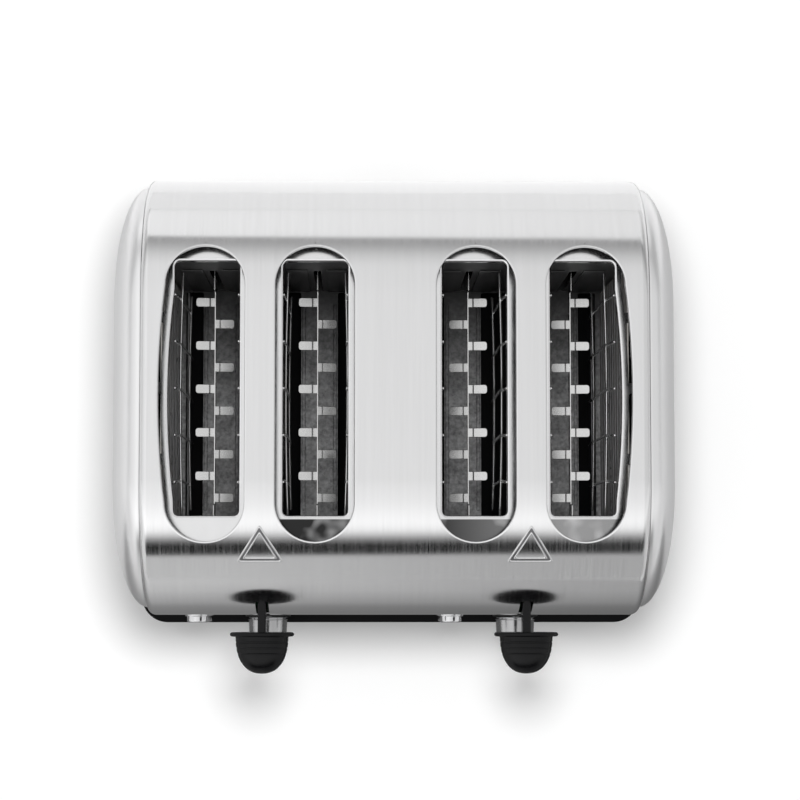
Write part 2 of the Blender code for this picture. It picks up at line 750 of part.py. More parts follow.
def build_top_plate(side, pair):
    """The plate under the shell's slots, with its openings' long edges turned down."""
    depth = (FRONT_WALL_OUTSIDE - TOP_PLATE_FRONT, BACK_WALL_OUTSIDE + TOP_PLATE_BACK)
    sheet = (TOP_PLATE_BOTTOM, TOP_PLATE_TOP)
    lip = (TOP_PLATE_BOTTOM - LIP_DEPTH, TOP_PLATE_TOP)
    plate = [block(chassis_width(), depth, sheet)]
    openings = []
    for x in PAIR_SLOTS:
        openings.append(block(about(x, OPENING_WIDTH), about(CHASSIS_SHIFT, OPENING_LENGTH), sheet))
        for edge in (-1, 1):
            inner = x + edge * OPENING_WIDTH / 2
            plate.append(block((inner, inner + edge * CHASSIS_SHEET), between_walls(), lip))
    add_blocks(f"chassis_top_plate_{side}", "chassis_steel", pair, plate, openings)


def build_end_walls(side, pair):
    """The two walls across the slots' ends, with slits that the carriages' arms run in."""
    slit = (ARM_BOTTOM - LEVER_TRAVEL - SLIT_CLEARANCE, TOTAL_HEIGHT - SLIT_TOP_DROP)
    for name, inside, outside in (
        ("front", FRONT_WALL_INSIDE, FRONT_WALL_OUTSIDE),
        ("back", BACK_WALL_INSIDE, BACK_WALL_OUTSIDE),
    ):
        wall = [block(chassis_width(), (inside, outside), (FLOOR_SEAT, TOP_PLATE_SEAT))]
        slits = [block(about(x, SLIT_WIDTH), (inside, outside), slit) for x in PAIR_SLOTS]
        add_blocks(f"chassis_{name}_wall_{side}", "wall_steel", pair, wall, slits)


def build_floor(side, pair):
    """The floor, open to the crumb tray between the rails under the boards and the slots' strips."""
    depth = (FLOOR_FRONT, BACK_WALL_OUTSIDE + TOP_PLATE_BACK)
    sheet = (FLOOR_BOTTOM, FLOOR_TOP)
    floor = [block(chassis_width(), depth, sheet)]
    edges = [
        -OUTER_BOARD_X + RAIL_WIDTH / 2,
        -HALF_SLOT_PITCH - STRIP_WIDTH / 2,
        -HALF_SLOT_PITCH + STRIP_WIDTH / 2,
        -RAIL_WIDTH / 2,
    ]
    edges += [-edge for edge in reversed(edges)]
    gaps = [block(across, between_walls(), sheet) for across in zip(edges[::2], edges[1::2])]
    for x in PAIR_SLOTS:
        for bead in (-1, 1):
            across = about(x + bead * BEAD_SPACING / 2, BEAD_WIDTH)
            along = about(CHASSIS_SHIFT, BEAD_LENGTH)
            floor.append(block(across, along, (FLOOR_TOP, FLOOR_TOP + BEAD_HEIGHT)))
    add_blocks(f"chassis_floor_{side}", "floor_steel", pair, floor, gaps)


def build_heating_board(number, x, pair):
    """A mica sheet with heating strips on both faces, standing between the floor and the top plate."""
    span = (FRONT_WALL_INSIDE + BOARD_END_GAP, BACK_WALL_INSIDE - BOARD_END_GAP)
    board = [block(about(x, BOARD_SHEET), span, (FLOOR_SEAT, TOP_PLATE_SEAT))]
    first = FLOOR_SEAT + ELEMENT_MARGIN
    pitch = (TOP_PLATE_SEAT - FLOOR_SEAT - 2 * ELEMENT_MARGIN) / (ELEMENT_STRIPS - 1)
    strip_span = (span[0] + ELEMENT_PROUD, span[1] - ELEMENT_PROUD)
    for i in range(ELEMENT_STRIPS):
        z = about(first + i * pitch, ELEMENT_WIDTH)
        board.append(block(about(x, BOARD_SHEET + 2 * ELEMENT_PROUD), strip_span, z))
    add_blocks(f"heating_board_{number}", "mica_board", pair, board)


def build_guard(number, x, pair):
    """A wire grid beside the bread; its own origin lies on the line that it slides along."""
    frame = frame_at(f"guard_slide_{number}", (x, CHASSIS_SHIFT, TOP_PLATE_TOP), pair)
    bottom = FLOOR_TOP + GUARD_FOOT_CLEARANCE - TOP_PLATE_TOP
    thickness = about(0, GUARD_WIRE)
    wires = []
    for height in (TOTAL_HEIGHT - GUARD_TOP_RAIL_DROP, FLOOR_TOP + GUARD_BOTTOM_RAIL_RISE):
        z = height - TOP_PLATE_TOP
        wires.append(block(thickness, about(0, GUARD_LENGTH), about(z, GUARD_WIRE)))
    for i in range(GUARD_UPRIGHTS):
        y = (i - (GUARD_UPRIGHTS - 1) / 2) * GUARD_PITCH
        wires.append(block(thickness, about(y, GUARD_WIRE), (bottom, 0)))
    add_blocks(f"bread_guard_{number}", "guard_wire", frame, wires)


def build_carriage(number, x, lever):
    """The thin rack that the bread stands on, with tabs bent out to either side in turn."""
    web = about(x, CARRIAGE_SHEET)
    front = FRONT_WALL_INSIDE + CARRIAGE_END_CLEARANCE
    back = BACK_WALL_INSIDE - CARRIAGE_END_CLEARANCE
    web_bottom = CARRIAGE_TOP - CARRIAGE_WEB
    rack = [
        block(web, (front, back), (web_bottom, CARRIAGE_TOP)),
        block(web, (front, front + CARRIAGE_END), (web_bottom, ARM_TOP)),
        block(web, (back - CARRIAGE_END, back), (web_bottom, ARM_TOP)),
        block(web, (FRONT_WALL_OUTSIDE - ARM_REACH, front + CARRIAGE_END), (ARM_BOTTOM, ARM_TOP)),
        block(web, (back - CARRIAGE_END, BACK_WALL_OUTSIDE + ARM_BACK_REACH), (ARM_BOTTOM, ARM_TOP)),
    ]
    first = front + TAB_FRONT_SPACE + TAB_WIDTH / 2
    last = back - TAB_BACK_SPACE - TAB_WIDTH / 2
    pitch = (last - first) / (TABS - 1 + TAB_STAGGER_SHARE)
    # The racks left and right of the toaster's middle mirror each other
    behind = math.copysign(1, x)
    for side in (-1, 1):
        for i in range(TABS):
            y = first + (i + TAB_STAGGER_SHARE * (side == behind)) * pitch
            tab = (x, x + side * (CARRIAGE_SHEET / 2 + TAB_REACH))
            rack.append(block(tab, about(y, TAB_WIDTH), (CARRIAGE_TOP - TAB_SHEET, CARRIAGE_TOP)))
    add_blocks(f"bread_carriage_{number}", "carriage_steel", lever, rack)


def build_bracket(side, lever):
    """The bracket that joins two carriages to the lever, slides on the rod and carries the armature."""
    bar_half = HALF_SLOT_PITCH + BAR_OVERHANG
    magnet_outside = -MAGNET_OFFSET - MAGNET_WIDTH / 2
    armature_bottom = MAGNET_TOP + LEVER_TRAVEL + GAP
    solids = [
        block(about(0, 2 * bar_half), (BAR_FRONT, BAR_BACK), (ARM_BOTTOM, ARM_TOP)),
        block(about(0, BUSH_SIZE), about(ROD_Y, BUSH_SIZE), (ARM_BOTTOM, ARM_BOTTOM + BUSH_HEIGHT)),
        block(about(0, RISER_WIDTH), (RISER_FRONT, RISER_BACK), (ARM_BOTTOM, LEVER_Z + STEM_HEIGHT / 2)),
        block(
            (magnet_outside, 0),
            (MAGNET_FRONT, RISER_BACK),
            (armature_bottom, armature_bottom + ARMATURE_SHEET),
        ),
    ]
    bore_size = 2 * (ROD_RADIUS + ROD_CLEARANCE)
    bore = block(about(0, bore_size), about(ROD_Y, bore_size), (ARM_BOTTOM, ARM_BOTTOM + BUSH_HEIGHT))
    add_blocks(f"carriage_bracket_{side}", "carriage_steel", lever, solids, [bore])


def superellipse(half_width, half_height, steps):
    """Points round a superellipse."""
    power = 2 / PADDLE_ROUNDNESS
    outline = []
    for x, z in circle(1, steps):
        outline.append(
            (
                half_width * math.copysign(abs(x) ** power, x),
                half_height * math.copysign(abs(z) ** power, z),
            )
        )
    return outline


def build_lever_handle(side, lever):
    """The black handle: a stem through the shell's slot, a round-ended flange and a domed paddle."""
    flange_back = SHELL_FRONT - LEVER_STANDOFF
    flange_front = flange_back - FLANGE_THICKNESS
    stem = block(
        about(0, STEM_WIDTH), (flange_back - SINK, RISER_FRONT - GAP), about(LEVER_Z, STEM_HEIGHT)
    )
    handle = add_mesh(f"lever_handle_{side}", *fused_blocks([stem]), "lever_black", lever, smooth=True)

    oval = superellipse(FLANGE_WIDTH / 2, FLANGE_HEIGHT / 2, ROUND_STEPS)
    flange = loft([[(x, y, LEVER_Z + z) for x, z in oval] for y in (flange_back, flange_front)])
    apply_tool(handle, add_mesh(f"lever_flange_{side}", *flange, "lever_black", lever), "UNION")

    rings = []
    for step in range(CAP_STEPS):
        angle = math.pi / 2 * step / CAP_STEPS
        reach = math.sin(angle) ** (2 / PADDLE_ROUNDNESS)
        narrow = math.cos(angle) ** (2 / PADDLE_ROUNDNESS)
        start = flange_front + (SINK if step == 0 else 0)
        section = superellipse(PADDLE_WIDTH / 2 * narrow, PADDLE_HEIGHT / 2 * narrow, ROUND_STEPS)
        rings.append([(x, start - PADDLE_REACH * reach, LEVER_Z + z) for x, z in section])
    tip = superellipse(PADDLE_WIDTH / 2, PADDLE_HEIGHT / 2, ROUND_STEPS)
    rings.append(
        [
            (x * PADDLE_TIP_SHARE, flange_front - PADDLE_REACH, LEVER_Z + z * PADDLE_TIP_SHARE)
            for x, z in tip
        ]
    )
    apply_tool(handle, add_mesh(f"lever_paddle_{side}", *loft(rings), "lever_black", lever), "UNION")


def build_guide_rod(side, pair):
    """The upright rod that the bracket slides on."""
    shape = turned([(ROD_RADIUS, FLOOR_SEAT), (ROD_RADIUS, TOP_PLATE_SEAT)], SMALL_ROUND_STEPS)
    rod = add_mesh(f"guide_rod_{side}", *shape, "chassis_steel", pair, smooth=True)
    rod.location = (0, ROD_Y, 0)


def build_spring(side, pair):
    """The coil spring between the top plate and the bracket, which lifts the lever back up."""
    low = ARM_TOP + GAP + SPRING_WIRE
    high = TOP_PLATE_SEAT - SPRING_WIRE
    steps = SPRING_TURNS * SPRING_STEPS
    rings = []
    for step in range(steps + 1):
        angle = 2 * math.pi * step / SPRING_STEPS
        z = low + (high - low) * step / steps
        ring = []
        for across, up in ((-1, 0), (0, -1), (1, 0), (0, 1)):
            radius = SPRING_RADIUS + across * SPRING_WIRE
            ring.append((radius * math.cos(angle), radius * math.sin(angle), z + up * SPRING_WIRE))
        rings.append(ring)
    spring = add_mesh(f"return_spring_{side}", *loft(rings), "spring_steel", pair, smooth=True)
    spring.location = (SPRING_OFFSET, ROD_Y, 0)


def build_magnet(side, pair):
    """The electromagnet that holds the lever down: a coil with its iron core standing proud."""
    y = (MAGNET_FRONT + MAGNET_BACK) / 2
    coil = block(
        about(-MAGNET_OFFSET, MAGNET_WIDTH),
        (MAGNET_FRONT, MAGNET_BACK),
        (FLOOR_SEAT, FLOOR_SEAT + MAGNET_HEIGHT),
    )
    core = block(
        about(-MAGNET_OFFSET, MAGNET_CORE), about(y, MAGNET_CORE), (FLOOR_SEAT, MAGNET_TOP)
    )
    add_blocks(f"electromagnet_{side}", "magnet_coil", pair, [coil, core])


def build_circuit(side, pair):
    """The control board, with a switch behind each button and the dial control behind the knob."""
    stem_bottom = LEVER_Z - STEM_HEIGHT / 2 - LEVER_TRAVEL
    head = KNOB_Z + CIRCUIT_HEAD
    left = -BUTTON_OFFSET - CIRCUIT_MARGIN
    depth = (CIRCUIT_FRONT, CIRCUIT_BACK)
    top = PLINTH_TOP + max(BUTTON_RISES) + CIRCUIT_MARGIN
    control_front = SHELL_FRONT_INSIDE + GAP
    solids = [
        block((left, -LEVER_SLOT_WIDTH / 2 - CIRCUIT_STEM_CLEARANCE), depth, (FLOOR_SEAT, top)),
        block((left, CIRCUIT_MARGIN), depth, (FLOOR_SEAT, min(head, stem_bottom - CIRCUIT_MARGIN))),
        block(
            about(0, DIAL_CONTROL_SIZE), (control_front, CIRCUIT_FRONT), about(KNOB_Z, DIAL_CONTROL_SIZE)
        ),
    ]
    for rise in BUTTON_RISES:
        solids.append(
            block(
                about(-BUTTON_OFFSET, SWITCH_SIZE),
                (CIRCUIT_FRONT - SWITCH_DEPTH, CIRCUIT_FRONT),
                about(PLINTH_TOP + rise, SWITCH_SIZE),
            )
        )
    bore_size = 2 * (SHAFT_RADIUS + GAP)
    bore = block(
        about(0, bore_size), (control_front, control_front + SHAFT_ENTRY), about(KNOB_Z, bore_size)
    )
    add_blocks(f"control_board_{side}", "circuit_board", pair, solids, [bore])


def build_knob(side, pair):
    """The browning knob with its shaft, and the fixed bezel ring that the shaft runs through."""
    bezel_back = GAP
    bezel_front = bezel_back + BEZEL_THICKNESS
    ring = [
        (SHAFT_RADIUS + GAP, bezel_back),
        (BEZEL_RADIUS, bezel_back),
        (BEZEL_RADIUS, bezel_front),
        (SHAFT_RADIUS + GAP, bezel_front),
    ]
    bezel = add_mesh(f"knob_bezel_{side}", *turned_ring(ring, ROUND_STEPS), "bezel_black", pair, smooth=True)

    back = bezel_front + GAP
    front = back + KNOB_DEPTH
    shaft_end = -SHELL_SHEET - SHAFT_ENTRY
    profile = [
        (SHAFT_RADIUS, shaft_end),
        (SHAFT_RADIUS, back),
        (KNOB_RADIUS, back),
        (KNOB_FRONT_RADIUS, front - KNOB_EDGE),
        (KNOB_FRONT_RADIUS - KNOB_EDGE, front),
        (KNOB_FRONT_RADIUS / 2, front + KNOB_CROWN),
    ]
    shape = turned(profile, ROUND_STEPS)
    knob = add_mesh(f"browning_knob_{side}", *shape, "knob_chrome", pair, smooth=True)
    mark = block(
        about(0, KNOB_MARK_WIDTH),
        (KNOB_RADIUS - KNOB_MARK_LENGTH, KNOB_RADIUS + OVERRUN),
        (front - KNOB_MARK_DEPTH, front + OVERRUN),
    )
    mark_cutter = add_mesh(f"knob_mark_{side}", *fused_blocks([mark]), "knob_chrome", pair)
    apply_tool(knob, mark_cutter, "DIFFERENCE")
    for piece in (bezel, knob, mark_cutter):
        piece.location = (0, SHELL_FRONT, KNOB_Z)
        piece.rotation_euler = (math.pi / 2, 0, 0)


def build_button(name, rise, pair):
    """A push button: a domed cap through the shell, a flange that keeps it in, and a short stem."""
    flange_front = -SHELL_SHEET - GAP
    stem_end = -SHELL_SHEET - BOARD_STANDOFF + SWITCH_DEPTH + BUTTON_TRAVEL + GAP
    profile = [
        (BUTTON_STEM_RADIUS, stem_end),
        (BUTTON_STEM_RADIUS, flange_front - BUTTON_FLANGE),
        (BUTTON_FLANGE_RADIUS, flange_front - BUTTON_FLANGE),
        (BUTTON_FLANGE_RADIUS, flange_front),
        (BUTTON_RADIUS, flange_front),
        (BUTTON_RADIUS, BUTTON_PROUD - BUTTON_EDGE),
        (BUTTON_RADIUS - BUTTON_EDGE, BUTTON_PROUD),
    ]
    button = add_mesh(name, *turned(profile, SMALL_ROUND_STEPS), "button_chrome", pair, smooth=True)
    button.location = (-BUTTON_OFFSET, SHELL_FRONT, PLINTH_TOP + rise)
    button.rotation_euler = (math.pi / 2, 0, 0)


def build_tray(side, pair):
    """The crumb tray, which slides out at the back by the grip on its panel."""
    frame = frame_at(f"tray_slide_{side}", (0, PLINTH_HALF_DEPTH, PLINTH_FLOOR_TOP + 2 * GAP), pair)
    front = FRONT_WALL_OUTSIDE - PLINTH_HALF_DEPTH - TRAY_FRONT_SETBACK
    half = TRAY_WIDTH / 2
    panel_back = 0
    panel_front = -TRAY_PANEL
    solids = [
        block(about(0, TRAY_WIDTH), (front, panel_back), (0, TRAY_SHEET)),
        block(about(0, TRAY_WIDTH), (front, front + TRAY_SHEET), (0, TRAY_WALL_HEIGHT)),
        block((-half, -half + TRAY_SHEET), (front, panel_back), (0, TRAY_WALL_HEIGHT)),
        block((half - TRAY_SHEET, half), (front, panel_back), (0, TRAY_WALL_HEIGHT)),
        block(about(0, TRAY_WIDTH), (panel_front, panel_back), (0, TRAY_PANEL_HEIGHT)),
        block(
            about(0, TRAY_GRIP_WIDTH),
            (panel_front, panel_back + TRAY_GRIP_PROUD + GAP),
            about(TRAY_PANEL_HEIGHT / 2, TRAY_GRIP_HEIGHT),
        ),
    ]
    add_blocks(f"crumb_tray_{side}", "tray_steel", frame, solids)


def build_pair(side, number, body):
    """Everything that belongs to one pair of slots, from its chassis to its lever and controls."""
    pair = frame_at(f"pair_{side}", ((2 * number - 1) * HALF_PAIR_PITCH, 0, 0), body)
    lever = frame_at(f"lever_slide_{side}", (0, 0, 0), pair)
    build_top_plate(side, pair)
    build_end_walls(side, pair)
    build_floor(side, pair)
    board_places = (-OUTER_BOARD_X, 0, OUTER_BOARD_X)
    guard_places = [x + edge * GUARD_X for x in PAIR_SLOTS for edge in (-1, 1)]
    for build, parent, places in (
        (build_heating_board, pair, board_places),
        (build_guard, pair, guard_places),
        (build_carriage, lever, PAIR_SLOTS),
    ):
        for i, x in enumerate(places):
            build(number * len(places) + i + 1, x, parent)
    build_bracket(side, lever)
    build_lever_handle(side, lever)
    build_guide_rod(side, pair)
    build_spring(side, pair)
    build_magnet(side, pair)
    build_circuit(side, pair)
    build_knob(side, pair)
    for name, rise in zip(("defrost", "reheat", "cancel"), BUTTON_RISES):
        build_button(f"{name}_button_{side}", rise, pair)
    build_tray(side, pair)


def build_toaster():
    """The whole toaster, on an empty that centres it over the origin."""
    clear_scene()
    body = frame_at("toaster", (0, BODY_Y, 0))
    build_shell(body)
    build_end_cap("end_cap_left", -1, body)
    build_end_cap("end_cap_right", 1, body)
    build_plinth(body)
    build_gland(body)
    build_feet(body)
    for number, side in enumerate(("left", "right")):
        build_pair(side, number, body)


build_toaster()
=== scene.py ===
"""Looks of the four-slice toaster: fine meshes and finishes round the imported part, in its own frame.

Metres. X runs across the front, +Y points to the back and Z = 0 is the floor.
"""

import json
import math

import bmesh
import bpy
from mathutils import Matrix, Vector

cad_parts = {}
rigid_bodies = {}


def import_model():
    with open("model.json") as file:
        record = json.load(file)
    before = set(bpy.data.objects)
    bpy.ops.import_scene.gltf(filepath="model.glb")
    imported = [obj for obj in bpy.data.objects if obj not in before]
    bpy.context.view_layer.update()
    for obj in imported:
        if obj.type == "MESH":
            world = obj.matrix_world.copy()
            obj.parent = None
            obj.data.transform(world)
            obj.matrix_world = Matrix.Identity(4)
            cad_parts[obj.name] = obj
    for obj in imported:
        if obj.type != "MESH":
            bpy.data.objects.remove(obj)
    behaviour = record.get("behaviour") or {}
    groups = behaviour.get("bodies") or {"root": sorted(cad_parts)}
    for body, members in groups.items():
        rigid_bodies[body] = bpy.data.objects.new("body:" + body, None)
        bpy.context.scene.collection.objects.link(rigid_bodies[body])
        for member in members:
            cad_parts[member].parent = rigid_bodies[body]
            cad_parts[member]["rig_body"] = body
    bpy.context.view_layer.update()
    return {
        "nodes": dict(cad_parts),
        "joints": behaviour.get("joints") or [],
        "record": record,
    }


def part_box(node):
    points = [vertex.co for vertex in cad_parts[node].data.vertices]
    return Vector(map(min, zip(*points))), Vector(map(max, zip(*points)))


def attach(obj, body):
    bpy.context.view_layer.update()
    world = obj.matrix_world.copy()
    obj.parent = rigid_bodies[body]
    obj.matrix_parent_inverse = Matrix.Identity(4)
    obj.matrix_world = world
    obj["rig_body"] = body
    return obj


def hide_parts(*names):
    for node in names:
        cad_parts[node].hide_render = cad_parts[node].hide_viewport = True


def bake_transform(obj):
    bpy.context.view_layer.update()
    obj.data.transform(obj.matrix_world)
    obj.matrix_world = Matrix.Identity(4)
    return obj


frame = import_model()

NODE_SLOTS = {row["node"]: row["material_slot"] for row in frame["record"]["subparts"]}

# Shell, from the frame and the sheet's own sizes
SHELL_LOW, SHELL_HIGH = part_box("top_shell")
MIDDLE_Y = (SHELL_LOW.y + SHELL_HIGH.y) / 2
HALF_WIDTH = SHELL_HIGH.x
HALF_DEPTH = (SHELL_HIGH.y - SHELL_LOW.y) / 2
SHELL_TOP = SHELL_HIGH.z
SHELL_BOTTOM = SHELL_LOW.z
CORNER_RADIUS = 0.070
EDGE_ROLL = 0.004
SHEET = 0.001
FLAT_HALF = HALF_DEPTH - CORNER_RADIUS
FRONT_RISE = SHELL_TOP - CORNER_RADIUS - SHELL_BOTTOM
ARC_LENGTH = CORNER_RADIUS * math.pi / 2
TOTAL_ARCH = 2 * (FRONT_RISE + ARC_LENGTH + FLAT_HALF)

# Toast slots
SLOT_WIDTH = 0.0408
SLOT_LENGTH = 0.1523
SLOT_SHIFT = -0.0026
SLOT_BOW = 0.0034
SLOT_STRAIGHT = (SLOT_LENGTH - SLOT_WIDTH) / 2
SLOT_XS = [sum(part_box(f"bread_carriage_{i}")[k].x for k in (0, 1)) / 2 for i in (1, 2, 3, 4)]
SLOT_BOWS = (-1, 0, 0, 1)
RIM = 0.0011  # how far out from the slot the shell starts to turn down
RIM_STEPS = 6
RIM_PULL_SHARE = 0.55  # of the rim, from either end of its bend to the curve's handle
COLLAR_TAPER = 0.0001
COLLAR_DEPTH = 0.0022

# Openings in the front of the shell
LEVER_SLOT_RADIUS = 0.0035
LEVER_SLOT_MARGIN = 0.002
CONTROL_GAP = 0.0003

# Facets
SLOT_END_STEPS = 12
SLOT_SIDE_STEPS = 18
HOLE_STEPS = 10
ARC_SPACING = 0.0016
FLAT_SPACING = 0.009
SEGMENT_COLUMNS = 5
ROLL_STEPS = 6
PADDLE_ROUND = 64
SMALL_ROUND = 32
MEDIUM_ROUND = 48
LARGE_ROUND = 96
CORNER_STEPS = 4
SOFT_CORNER_STEPS = 5
OPENING_CORNER_STEPS = 6
PLINTH_CORNER_STEPS = 14
WELD_FINENESS = 50  # times finer than a sheet's eased edge
EASE_STEPS = ((0, 1), (0.3, 0.3), (1, 0))  # an eased edge's points, as shares of its size
ROW_TOLERANCE = 0.00001
CLEAR_SHARE = 1 / 3  # of the spacing, kept free round a row that is required


def measured(node):
    """The low corner, the high corner and the middle of a node's box."""
    low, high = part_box(node)
    return low, high, (low + high) / 2


def middle(node):
    """The middle of a node's box."""
    return measured(node)[2]


# Mesh helpers


def arc(steps, turn=0.25):
    """(sine, cosine) at even steps through part of a turn."""
    angles = [2 * math.pi * turn * i / steps for i in range(steps + 1)]
    return [(math.sin(angle), math.cos(angle)) for angle in angles]


def rounded_edge(radius, height, edge, steps):
    """Points of a quarter round, from the side of a profile to its flat face at that height."""
    return [(radius - edge * (1 - cos), height - edge * (1 - sin)) for sin, cos in arc(steps)]


def eased(radius, height, ease, way=1):
    """The same with three points; way -1 is for a face that lies beyond the side."""
    return [(radius - ease * a, height + way * ease * b) for a, b in EASE_STEPS]


def ring_bands(first, size, count, closed=True):
    """Quads between each of count rings of size points and the next."""
    quads = []
    for ring in range(count - 1):
        low = first + ring * size
        for i in range(size if closed else size - 1):
            j = (i + 1) % size
            quads.append((low + i, low + j, low + size + j, low + size + i))
    return quads


def loft(rings):
    """Points and faces of the closed body through the rings, with a flat face on each end."""
    size = len(rings[0])
    points = [tuple(point) for ring in rings for point in ring]
    faces = ring_bands(0, size, len(rings))
    faces.append(tuple(reversed(range(size))))
    faces.append(tuple(range(len(points) - size, len(points))))
    return points, faces


def ring_loft(rings):
    """Points and faces of the body through the rings and back to the first."""
    size = len(rings[0])
    points = [tuple(point) for ring in rings for point in ring]
    faces = ring_bands(0, size, len(rings) + 1)
    return points, [tuple(i % len(points) for i in face) for face in faces]


def joined(shapes):
    """Points and faces of several shapes as one mesh."""
    points, faces = [], []
    for more_points, more_faces in shapes:
        start = len(points)
        points += [tuple(point) for point in more_points]
        faces += [tuple(start + i for i in face) for face in more_faces]
    return points, faces


def moved(shape, shift):
    """The shape, shifted."""
    points, faces = shape
    return [tuple(a + b for a, b in zip(point, shift)) for point in points], faces


def circle(radius, steps, centre=(0, 0)):
    """Points round a circle."""
    turn = 2 * math.pi / steps
    return [
        (centre[0] + radius * math.cos(i * turn), centre[1] + radius * math.sin(i * turn))
        for i in range(steps)
    ]


def turned(profile, centre, axis, steps):
    """The solid that (radius, height) pairs sweep round an axis through the centre.

    The axis is "z", or "front" for one that points out of the front, towards -Y.
    """
    rings = []
    for radius, height in profile:
        ring = []
        for a, b in circle(radius, steps):
            offset = (a, b, height) if axis == "z" else (a, -height, b)
            ring.append(tuple(c + o for c, o in zip(centre, offset)))
        rings.append(ring)
    return rings


def rounded_rectangle(half_width, half_depth, radius, steps=CORNER_STEPS):
    """Outline of a rectangle with round corners, about the origin."""
    outline = []
    for corner in range(4):
        sign_x = 1 if corner in (0, 3) else -1
        sign_y = 1 if corner in (0, 1) else -1
        for step in range(steps + 1):
            angle = math.pi / 2 * (corner + step / steps)
            outline.append(
                (
                    sign_x * (half_width - radius) + radius * math.cos(angle),
                    sign_y * (half_depth - radius) + radius * math.sin(angle),
                )
            )
    return outline


def ring_at(outline, centre, height):
    """A level outline about a centre, at a height."""
    return [(x + centre[0], y + centre[1], height) for x, y in outline]


BLOCK_CORNER_SHARE = 0.25  # of a block's rounded edge: the least radius round its ends


def rounded_box(x, y, z, edge):
    """A block from three (low, high) pairs with all its edges rounded."""
    half_x, half_y = (x[1] - x[0]) / 2, (y[1] - y[0]) / 2
    rings = []
    for margin, height in ((edge, z[0]), (0, z[0] + edge), (0, z[1] - edge), (edge, z[1])):
        corner = max(edge - margin, edge * BLOCK_CORNER_SHARE)
        outline = rounded_rectangle(half_x - margin, half_y - margin, corner)
        rings.append(ring_at(outline, (half_x + x[0], half_y + y[0]), height))
    return loft(rings)


def plain_block(x, y, z):
    """A block from three (low, high) pairs."""
    return loft([[(x[a], y[b], z[c]) for a, b in ((0, 0), (1, 0), (1, 1), (0, 1))] for c in (0, 1)])


WIRE_END_SHARES = (0, 0.3, 0.55, 0.75, 0.9)  # of a right angle, round a wire's end


def tube(path, radius, sides):
    """A round wire along a path, with round ends that reach its radius beyond it."""
    path = [Vector(point) for point in path]
    last = len(path) - 1
    rings = []
    side = (path[1] - path[0]).normalized().orthogonal().normalized()
    for i, point in enumerate(path):
        along = (path[min(i + 1, last)] - path[max(i - 1, 0)]).normalized()
        side = (side - along * side.dot(along)).normalized()
        up = along.cross(side)
        angles = [math.pi / 2 * share for share in WIRE_END_SHARES] if i in (0, last) else [0]
        for angle in angles if i else reversed(angles):
            centre = point + along * radius * math.sin(angle) * (1 if i else -1)
            size = radius * math.cos(angle)
            rings.append([centre + size * (side * a + up * b) for a, b in circle(1, sides)])
    return loft(rings)


def bare_mesh(shape, name):
    """A mesh of the points and faces."""
    mesh = bpy.data.meshes.new(name)
    mesh.from_pydata(shape[0], [], shape[1])
    return mesh


def facing_out(mesh, weld=0):
    """The mesh with its faces turned outwards, and points closer than the weld made one."""
    made = bmesh.new()
    made.from_mesh(mesh)
    if weld:
        bmesh.ops.remove_doubles(made, verts=made.verts, dist=weld)
    bmesh.ops.recalc_face_normals(made, faces=made.faces)
    made.to_mesh(mesh)
    made.free()
    return mesh


def linked(name, data):
    """A new object in the scene."""
    obj = bpy.data.objects.new(name, data)
    bpy.context.scene.collection.objects.link(obj)
    return obj


def shape_of(mesh):
    """Points and faces of a mesh."""
    return [tuple(v.co) for v in mesh.vertices], [tuple(p.vertices) for p in mesh.polygons]


def evaluated(obj):
    """The object's shape with its modifiers, after which the object is removed."""
    bpy.context.view_layer.update()
    graph = bpy.context.evaluated_depsgraph_get()
    shape = shape_of(bpy.data.meshes.new_from_object(obj.evaluated_get(graph)))
    bpy.data.objects.remove(obj)
    return shape


def combined(shape, tool, operation):
    """The shape cut, fused or trimmed by the tool."""
    objects = [linked("working", facing_out(bare_mesh(part, "shape"))) for part in (shape, tool)]
    modifier = objects[0].modifiers.new("combine", "BOOLEAN")
    modifier.operation = operation
    modifier.solver = "EXACT"
    modifier.object = objects[1]
    made = evaluated(objects[0])
    bpy.data.objects.remove(objects[1])
    return made


def cut_sheet(loops, low, high, edge, place):
    """A flat sheet inside the first loop, with the others as holes and its edges eased.

    place turns (u, v, height) into (x, y, z).
    """
    curve = bpy.data.curves.new("outline", "CURVE")
    curve.dimensions = "2D"
    curve.fill_mode = "BOTH"
    curve.extrude = (high - low) / 2 - edge
    curve.bevel_depth = edge
    curve.bevel_resolution = 1
    curve.offset = -edge
    for loop in loops:
        spline = curve.splines.new("POLY")
        spline.points.add(len(loop) - 1)
        for point, (u, v) in zip(spline.points, loop):
            point.co = (u, v, 0, 1)
        spline.use_cyclic_u = True
    points, faces = evaluated(linked("outline", curve))
    height = (low + high) / 2
    mesh = bare_mesh(([place(u, v, w + height) for u, v, w in points], faces), "sheet")
    return shape_of(facing_out(mesh, edge / WELD_FINENESS))


def flat(u, v, w):
    """A sheet that lies level."""
    return u, v, w


def facing_front(u, v, w):
    """A sheet that stands across the toaster: u along X, v up."""
    return u, w, v


def facing_side(u, v, w):
    """A sheet that stands from front to back: u along Y, v up."""
    return w, u, v


def add_piece(name, shape, body, slot, normals=None, sharp=35, replaced=()):
    """An object with its finish that moves with the body and stands for the replaced nodes.

    Where normals are given, the second half of the points is the inside of a sheet, marked for the painted
    shade on it.
    """
    mesh = bare_mesh(shape, name)
    if normals:
        mesh.shade_smooth()
        mesh.normals_split_custom_set_from_vertices(normals)
        half = len(shape[0]) // 2
        inside = mesh.attributes.new("inside", "FLOAT", "POINT")
        inside.data.foreach_set("value", [0.0] * half + [1.0] * (len(shape[0]) - half))
    else:
        facing_out(mesh).shade_smooth()
        mesh.set_sharp_from_angle(angle=math.radians(sharp))
    mesh.materials.append(finish_of(slot))
    obj = linked(name, mesh)
    if body:
        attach(obj, body)
    if replaced:
        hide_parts(*replaced)
    return obj


